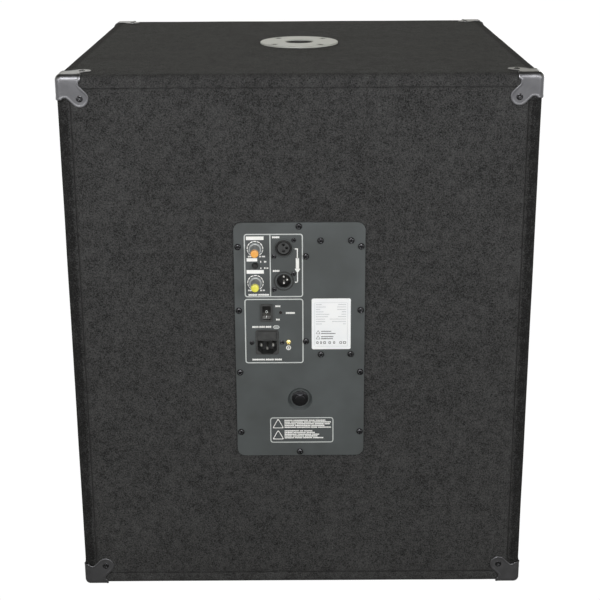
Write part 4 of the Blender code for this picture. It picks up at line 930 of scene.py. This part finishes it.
def pittedDisc(radius, level, pits, rows=22, count=72):
    # a flat round face with holes: (x, y, radius, depth) each
    r, t = np.meshgrid(np.linspace(0, radius, rows), np.arange(count) / count * 2 * np.pi, indexing="ij")
    x, y = r * np.cos(t), r * np.sin(t)
    z = np.full_like(x, level)
    for px, py, pr, depth in pits:
        z -= depth * np.clip((pr - np.hypot(x - px, y - py)) / 0.35 + 0.5, 0, 1)
    z[-1] = level - 3
    return np.stack([x, y, z], axis=-1).reshape(-1, 3), gridFaces(rows, count, wrapCols=True)


def ringPart(profile, count=72):  # a profile that closes on itself, turned
    return turned(np.array(profile) * mm, count)[0], gridFaces(len(profile), count, wrapRows=True,
                                                               wrapCols=True)


def addSockets(spec):
    ring, mouth = spec["ring"], spec["mouth"]
    for word in ("input", "thru"):
        centre = middle(word + "_xlr")
        centre[1] = plateFace
        collar = [(ring + 0.4, -0.4), (ring + 0.4, 0.1), (spec["collar"] - 0.9, 0.1),
                  (spec["collar"] - 0.6, 0.55),
                  (spec["collar"] - 0.2, 0.55), (spec["collar"], 0.1), (spec["collar"], -0.4)]
        p, f = ringPart(collar)
        finish = collarGrey if word == "thru" else finishes["plate_paint"]
        makePiece(word + "_collar", place(p, centre, "rear"), f, finish, sharp=30)
    centre = middle("input_xlr")
    centre[1] = plateFace
    p, f = ringPart([(mouth, -12.0), (mouth, 0.0), (mouth + 0.3, 0.4), (ring - 0.4, 0.45), (ring, 0.1),
                     (ring, -12.0)])
    makePiece("input_barrel", place(p, centre, "rear"), f, deepBlack, replaces=("input_xlr",))
    hole = 1.45
    pits = [(0, spec["pin"], hole, 4.0), (0.95 * spec["pin"], 0.3, hole, 4.0),
            (0, -0.95 * spec["pin"], hole, 4.0)]
    p, f = pittedDisc(mouth - 0.35, -0.8, pits)
    makePiece("input_insert", place(p * mm, centre, "rear"), f, insertGrey, weld=1e-6)
    centre = middle("thru_xlr")
    centre[1] = plateFace
    barrel = ringPart([(7.6, -13.0), (7.6, 0.0), (8.0, 0.35), (8.5, 0.3), (8.6, -13.0)])
    floor = turned(np.array([(0, -12.0), (7.8, -12.0), (7.8, -13.0), (0, -13.0)]) * mm, 72)
    points, faces = joinParts([barrel, floor])
    makePiece("thru_barrel", place(points, centre, "rear"), faces, deepBlack,
              replaces=("thru_xlr",), weld=1e-6)
    pins = []
    t = np.linspace(0, np.pi / 2, 6)
    thick, end = spec["pinRadius"], spec["tip"]
    for u, v in ((0, spec["pin"]), (0.98 * spec["pin"], 0.2), (0, -spec["pin"])):
        dome = [(thick * math.cos(k), end - thick + thick * math.sin(k)) for k in t]
        p, f = turned(np.array([(0, -12.2), (thick, -12.2)] + dome) * mm, 24)
        pins.append((p + np.array([u, v, 0]) * mm, f))
    points, faces = joinParts(pins)
    makePiece("thru_pins", place(points, centre, "rear"), faces, brightPin, weld=1e-6)


addSockets(socketSpec)
print("sockets fitted")


# mains inlet pins and the marks on the rocker

inletSpec = {"pin": (2.3, 4.2), "reach": (-16.0, -1.2),
             "spots": ((-46.1, -3.9), (-32.1, -3.9), (-39.1, -8.0))}
rockerSpec = {"face": ((-7.6, 4.6), (-3.8, 3.76), (0, 3.2), (3.8, 3.76), (7.6, 4.6)), "back": 2.4,
              "rest": -9.0, "ring": (1.5, 0.5, 0.8), "stroke": (0.6, 2.8, -5.2)}


def addInletPins(spec):
    parts = []
    outline = roundedRing(*spec["pin"], 0.4, 3)
    start, end = spec["reach"]
    for u, v in spec["spots"]:
        rings = [flatRing(outline, start), flatRing(outline, end - 0.7), flatRing(outline * 0.82, end)]
        p, f = stackRings(rings)
        parts.append((p + np.array([u, v, 0]), f))
    printPiece("inlet_pins", parts, finishes["plated_steel"])


def addRockerMarks(spec):
    # the marks lie on the rocker's dished face: a height read along it, then turned with the rocker to its
    # rest angle
    radius, line, ringAt = spec["ring"]
    wide, tall, strokeAt = spec["stroke"]
    t = np.arange(24) / 24 * 2 * np.pi
    circle = np.stack([np.cos(t), np.sin(t)], axis=1)
    at = np.array([0, ringAt])
    mark = ringSlab(circle * radius + at, circle * (radius - line) + at)
    stroke = slab([(-wide / 2, strokeAt - tall / 2), (wide / 2, strokeAt - tall / 2),
                   (wide / 2, strokeAt + tall / 2), (-wide / 2, strokeAt + tall / 2)])
    points, faces = joinParts([mark, stroke])
    face = np.array(spec["face"])
    height = np.interp(points[:, 1], face[:, 0], face[:, 1]) + points[:, 2] + 0.02
    turn = math.radians(spec["rest"])
    along = points[:, 1] * math.cos(turn) - height * math.sin(turn)
    out = points[:, 1] * math.sin(turn) + height * math.cos(turn)
    centre = middle("power_rocker")
    pivot = np.array([centre[0], plateFace - spec["back"] * mm, middle("rocker_frame")[2]])
    makePiece("rocker_marks", place(np.stack([points[:, 0], along, out], axis=1) * mm, pivot, "rear"), faces,
              inkPale, "rocker")


addInletPins(inletSpec)
addRockerMarks(rockerSpec)


# earth screw, and the transformer's hexagon bolt with its washer in the dish

boltSpec = {"flats": 13.0, "chamfer": 0.9, "rows": 10, "washer": 9.9, "bore": 4.6}


def hexHead(spec, height):
    # the radius to the flats' edge at each angle, cut back to a cone at the top corners
    t = np.arange(96) / 96 * 2 * np.pi
    flat = spec["flats"] / 2 / np.cos((t % (np.pi / 3)) - np.pi / 6)
    cone = [flat] + [np.minimum(flat, spec["flats"] / 2 + 0.95 - 0.28 * k) for k in range(5)]
    heights = [0.0] + [height - spec["chamfer"] * (1 - k / 4) ** 1.5 for k in range(5)]
    rings = [np.stack([r * np.cos(t), r * np.sin(t), np.full_like(t, h)], axis=-1) for r,
             h in zip(cone, heights)]
    rings.append(rings[-1] * np.array([0.97, 0.97, 1]) + np.array([0, 0, 0.04]))
    return stackRings(rings)


def addBolt(spec):
    centre = middle("transformer_washer")
    centre[1] = low("transformer_washer")[1]
    thick = (high("transformer_washer")[1] - centre[1]) / mm
    tall = (high("transformer_bolt")[1] - high("transformer_washer")[1]) / mm
    points, faces = hexHead(spec, tall - 0.1)
    makePiece("transformer_hex", place((points + [0, 0, thick + 0.1]) * mm, centre, "rear"), faces,
              blackScrew, replaces=("transformer_bolt",), sharp=25)
    ring, bore = spec["washer"], spec["bore"]
    p, f = ringPart([(bore, 0), (bore, thick), (ring - 0.7, thick), (ring - 0.2, thick - 0.25),
                     (ring, thick - 0.7), (ring, 0)])
    makePiece("dish_washer", place(p, centre, "rear"), f, blackScrew,
              replaces=("transformer_washer",))


addBolt(boltSpec)
spot = middle("earth_screw")
spot[1] = plateFace
screws("earth_terminal", [(spot, "rear")], 3.0 * mm, 2.2 * mm, finishes["brass"], "brass",
       replaces=("earth_screw",), depth=0.8 * mm)
print("amplifier panel done")


# side handles

handleSpec = {"rim": 20.0, "least": 12.5, "wall": 1.8, "screwEdge": 7.0, "screwRadius": 3.4, "ribs": 13,
              "ribHeight": 0.7}


def addHandles(spec):
    # the cup is rings of a rounded rectangle, set in by the first number and raised by the second, down to
    # its floor
    profile = [(0, 0.2), (0, 0.9), (0.35, 1.55), (1.1, 1.95), (2.4, 2.0), (5, 2.0), (11.4, 2.0), (12.8, 1.8),
               (13.9, 1.1), (14.6, 0.0),
               (15.0, -2), (15.6, -14), (16.6, -28), (17.6, -40), (18.4, -44.5), (20.2, -47.4),
               (23.0, -49.0), (27.0, -49.4)]
    for side in ("left", "right"):
        a, b = low("handle_cup_" + side), high("handle_cup_" + side)
        centre = (a + b) / 2
        centre[0] = b[0] - 2 * mm if side == "right" else a[0] + 2 * mm
        wide, tall = (b[1] - a[1]) / mm, (b[2] - a[2]) / mm
        rings = [flatRing(roundedRing(wide - 2 * i, tall - 2 * i, max(spec["rim"] - i, spec["least"]), 8, 14,
                                      8), h) for i, h in profile]
        inner = rings[-1]
        mid = inner.mean(axis=0)
        rings += [mid + (inner - mid) * k for k in (0.75, 0.5, 0.25)]
        points, faces = stackRings(rings, caps=False)
        faces.append([(len(rings) - 1) * len(inner) + i for i in range(len(inner))])
        makePiece("handle_shell_" + side, place(points * mm, centre, side), faces,
                  finishes["handle_plastic"],
                  replaces=("handle_cup_" + side,), wall=spec["wall"] * mm, sharp=40)
        e = spec["screwEdge"]
        spots = []
        for k in (-0.5, -0.17, 0.17, 0.5):
            for s in (-1, 1):
                at = place([(k * (wide - 2 * e - 14) * mm, s * (tall / 2 - e) * mm, 1.6 * mm)], centre,
                           side)[0]
                spots.append((at, side))
        screws("handle_screws_" + side, spots, spec["screwRadius"] * mm, 0.4 * mm, blackScrew, "black_nylon",
               depth=0.3 * mm)
        addGrip(side, spec)


def addGrip(word, spec):
    # a bar along the handle whose round section swells over each rib and flares at its two ends
    a, b = low("handle_grip_" + word), high("handle_grip_" + word)
    centre = (a + b) / 2
    half = (b[1] - a[1]) / 2 / mm
    big = (b[2] - a[2]) / 2 / mm
    x = np.linspace(-half, half, 161)
    wave = (1 + np.cos(x / half * np.pi * spec["ribs"])) * (np.abs(x) < half - 12)
    bar = big - 2.0 - spec["ribHeight"] * 0.5 * wave
    flare = np.clip((np.abs(x) - (half - 8)) / 3, 0, 1)
    radius = bar + (big - bar) * flare * flare * (3 - 2 * flare)
    profile = np.concatenate([[(0, -half)], np.stack([radius, x], axis=1), [(0, half)]])
    p, f = turned(profile * mm, 40)
    points = p[:, [0, 2, 1]] + centre
    makePiece("grip_bar_" + word, points, f[:, ::-1], finishes["rubber"],
              replaces=("handle_grip_" + word,), weld=1e-6)


addHandles(handleSpec)
print("handles fitted")


# rubber feet, each with a recessed screw and washer

footSpec = {"radius": 21.0, "bore": 6.2, "deep": 8.0, "washer": 5.6}


def addFeet(spec):
    r, bore, deep = spec["radius"], spec["bore"], spec["deep"]
    for word in ("front_left", "front_right", "rear_left", "rear_right"):
        node = "foot_" + word
        centre = middle(node)
        top = high(node)[2] / mm
        centre[2] = 0
        t = np.linspace(0, np.pi / 2, 6)
        edge = [(r - 3.4 + 2.2 * math.sin(k), 2.2 - 2.2 * math.cos(k)) for k in t]
        profile = [(0, deep), (bore, deep), (bore, 0.8),
                   (bore + 0.8, 0.0)] + edge + [(r - 0.9, 6), (r - 0.5, 11), (r, top - 0.6), (r - 0.4, top),
                                                (0, top)]
        p, f = turned(np.array(profile) * mm, 64)
        makePiece("rubber_foot_" + word, p + centre, f, finishes["rubber"], replaces=(node,),
                  weld=1e-6)
        screws("foot_screw_" + word, [(centre + np.array([0, 0, (deep - 0.1) * mm]), "under")],
               spec["washer"] * mm, 2.0 * mm, finishes["plated_steel"], "plated_steel", depth=1.0 * mm)


addFeet(footSpec)
print("feet fitted")


# front grille: a folded sheet with six-sided holes, and the foam behind it

grilleSpec = {"pitch": 9.4, "hole": 7.3, "sheet": 1.4, "border": 11.0, "bend": 3.0}


def perforated(spec, wide, tall):
    # each cell is a six-sided ring from its hole to the cell's edge, with the hole's wall and a back face
    pitch = spec["pitch"]
    across = int((wide / 2 - pitch / 2) / pitch)
    up = int((tall / 2 - pitch / 2) / (pitch * 0.75 ** 0.5))
    col, row = np.meshgrid(np.arange(-across, across + 1), np.arange(-up, up + 1))
    u = (col + 0.5 * (row % 2)).ravel() * pitch
    v = row.ravel() * pitch * 0.75 ** 0.5
    keep = np.abs(u) < wide / 2 - pitch / 2
    centre = np.stack([u[keep], v[keep]], axis=1)
    t = np.radians(np.arange(6) * 60 + 30)
    corner = np.stack([np.cos(t), np.sin(t)], axis=1)
    outer, hole = corner * pitch / 3 ** 0.5, corner * spec["hole"] / 3 ** 0.5
    loops = [flatRing(outer, 0.0), flatRing(hole, 0.0), flatRing(hole, -spec["sheet"]),
             flatRing(outer, -spec["sheet"])]
    cell = np.concatenate(loops)
    points = cell[None] + np.concatenate([centre, np.zeros((len(centre), 1))], axis=1)[:, None]
    quads = gridFaces(4, 6, wrapCols=True)
    faces = quads[None, :, ::-1] + (np.arange(len(centre)) * len(cell))[:, None, None]
    return points.reshape(-1, 3), faces.reshape(-1, 4)


def addGrille(spec):
    a, b = low("grille"), high("grille")
    centre = (a + b) / 2
    centre[1] = a[1]
    wide, tall, deep = (b[0] - a[0]) / mm, (b[2] - a[2]) / mm, (b[1] - a[1]) / mm
    border, bend, sheet = spec["border"], spec["bend"], spec["sheet"]
    points, faces = perforated(spec, wide - 2 * border + 8, tall - 2 * border + 8)
    points[:, 2] -= 0.15
    makePiece("grille_mesh", place(points * mm, centre, "front"), faces, finishes["grille_steel"],
              sharp=30)
    # the border is flat, rolls over by the bend radius and runs back as the tray's side wall
    t = np.linspace(0, np.pi / 2, 7)
    outside = [(border, -0.1),
               (border - 0.3, 0.0)] + [(bend - bend * math.sin(k), -bend + bend * math.cos(k))
                                       for k in t] + [(0, -20), (0, -deep)]
    inside = [(sheet, -deep), (sheet, -20), (sheet, -bend), (bend, -sheet), (border, -sheet)]
    rings = [flatRing(roundedRing(wide - 2 * i, tall - 2 * i, max(4.0 - i, 0.6), 4, 12, 14), h) for i,
             h in outside + inside]
    points, _ = stackRings(rings, caps=False)
    faces = gridFaces(len(rings), len(rings[0]), wrapRows=True, wrapCols=True)
    makePiece("grille_frame", place(points * mm, centre, "front"), faces, finishes["grille_steel"],
              replaces=("grille",), sharp=40)
    spots = []
    e = border * 0.55
    for s in (-1, 1):
        for k in (-0.5, -0.17, 0.17, 0.5):
            spots.append((place([(s * (wide / 2 - e) * mm, k * (tall - 60) * mm, 0)], centre, "front")[0],
                          "front"))
            spots.append((place([(k * (wide - 60) * mm, s * (tall / 2 - e) * mm, 0)], centre, "front")[0],
                          "front"))
    screws("grille_screws", spots, 3.6 * mm, 1.5 * mm, blackScrew, "black_nylon", depth=0.8 * mm)


def addFoam(spec):  # a soft sheet with rounded edges whose face rises and falls by half a millimetre
    a, b = low("grille_foam") / mm, high("grille_foam") / mm
    centre = (a + b) / 2
    wide, tall, deep = b[0] - a[0], b[2] - a[2], b[1] - a[1]
    u = np.linspace(-wide / 2, wide / 2, spec["across"])
    v = np.linspace(-tall / 2, tall / 2, spec["up"])
    x, z = np.meshgrid(u, v)
    away = np.minimum(wide / 2 - np.abs(x), tall / 2 - np.abs(z))
    roll = np.sqrt(np.clip(1 - (1 - np.clip(away / spec["roll"], 0, 1)) ** 2, 0, 1))
    wave = spec["wave"] * (1 + np.sin(x / 23 + 1.3 * np.sin(z / 41)) * np.sin(z / 29 + np.sin(x / 37))) / 2
    front = np.stack([x, z, (deep / 2 - wave) * roll], axis=-1)
    back = np.stack([x, z, -deep / 2 * roll], axis=-1)
    quads = gridFaces(spec["up"], spec["across"])
    points, faces = joinParts([(front.reshape(-1, 3), quads), (back.reshape(-1, 3), quads[:, ::-1])])
    makePiece("foam_sheet", place(points * mm, centre * mm, "front"), faces, finishes["acoustic_foam"],
              replaces=("grille_foam",), weld=1e-5, sharp=80)


addGrille(grilleSpec)
addFoam({"across": 87, "up": 103, "roll": 2.5, "wave": 0.9})
print("grille fitted")
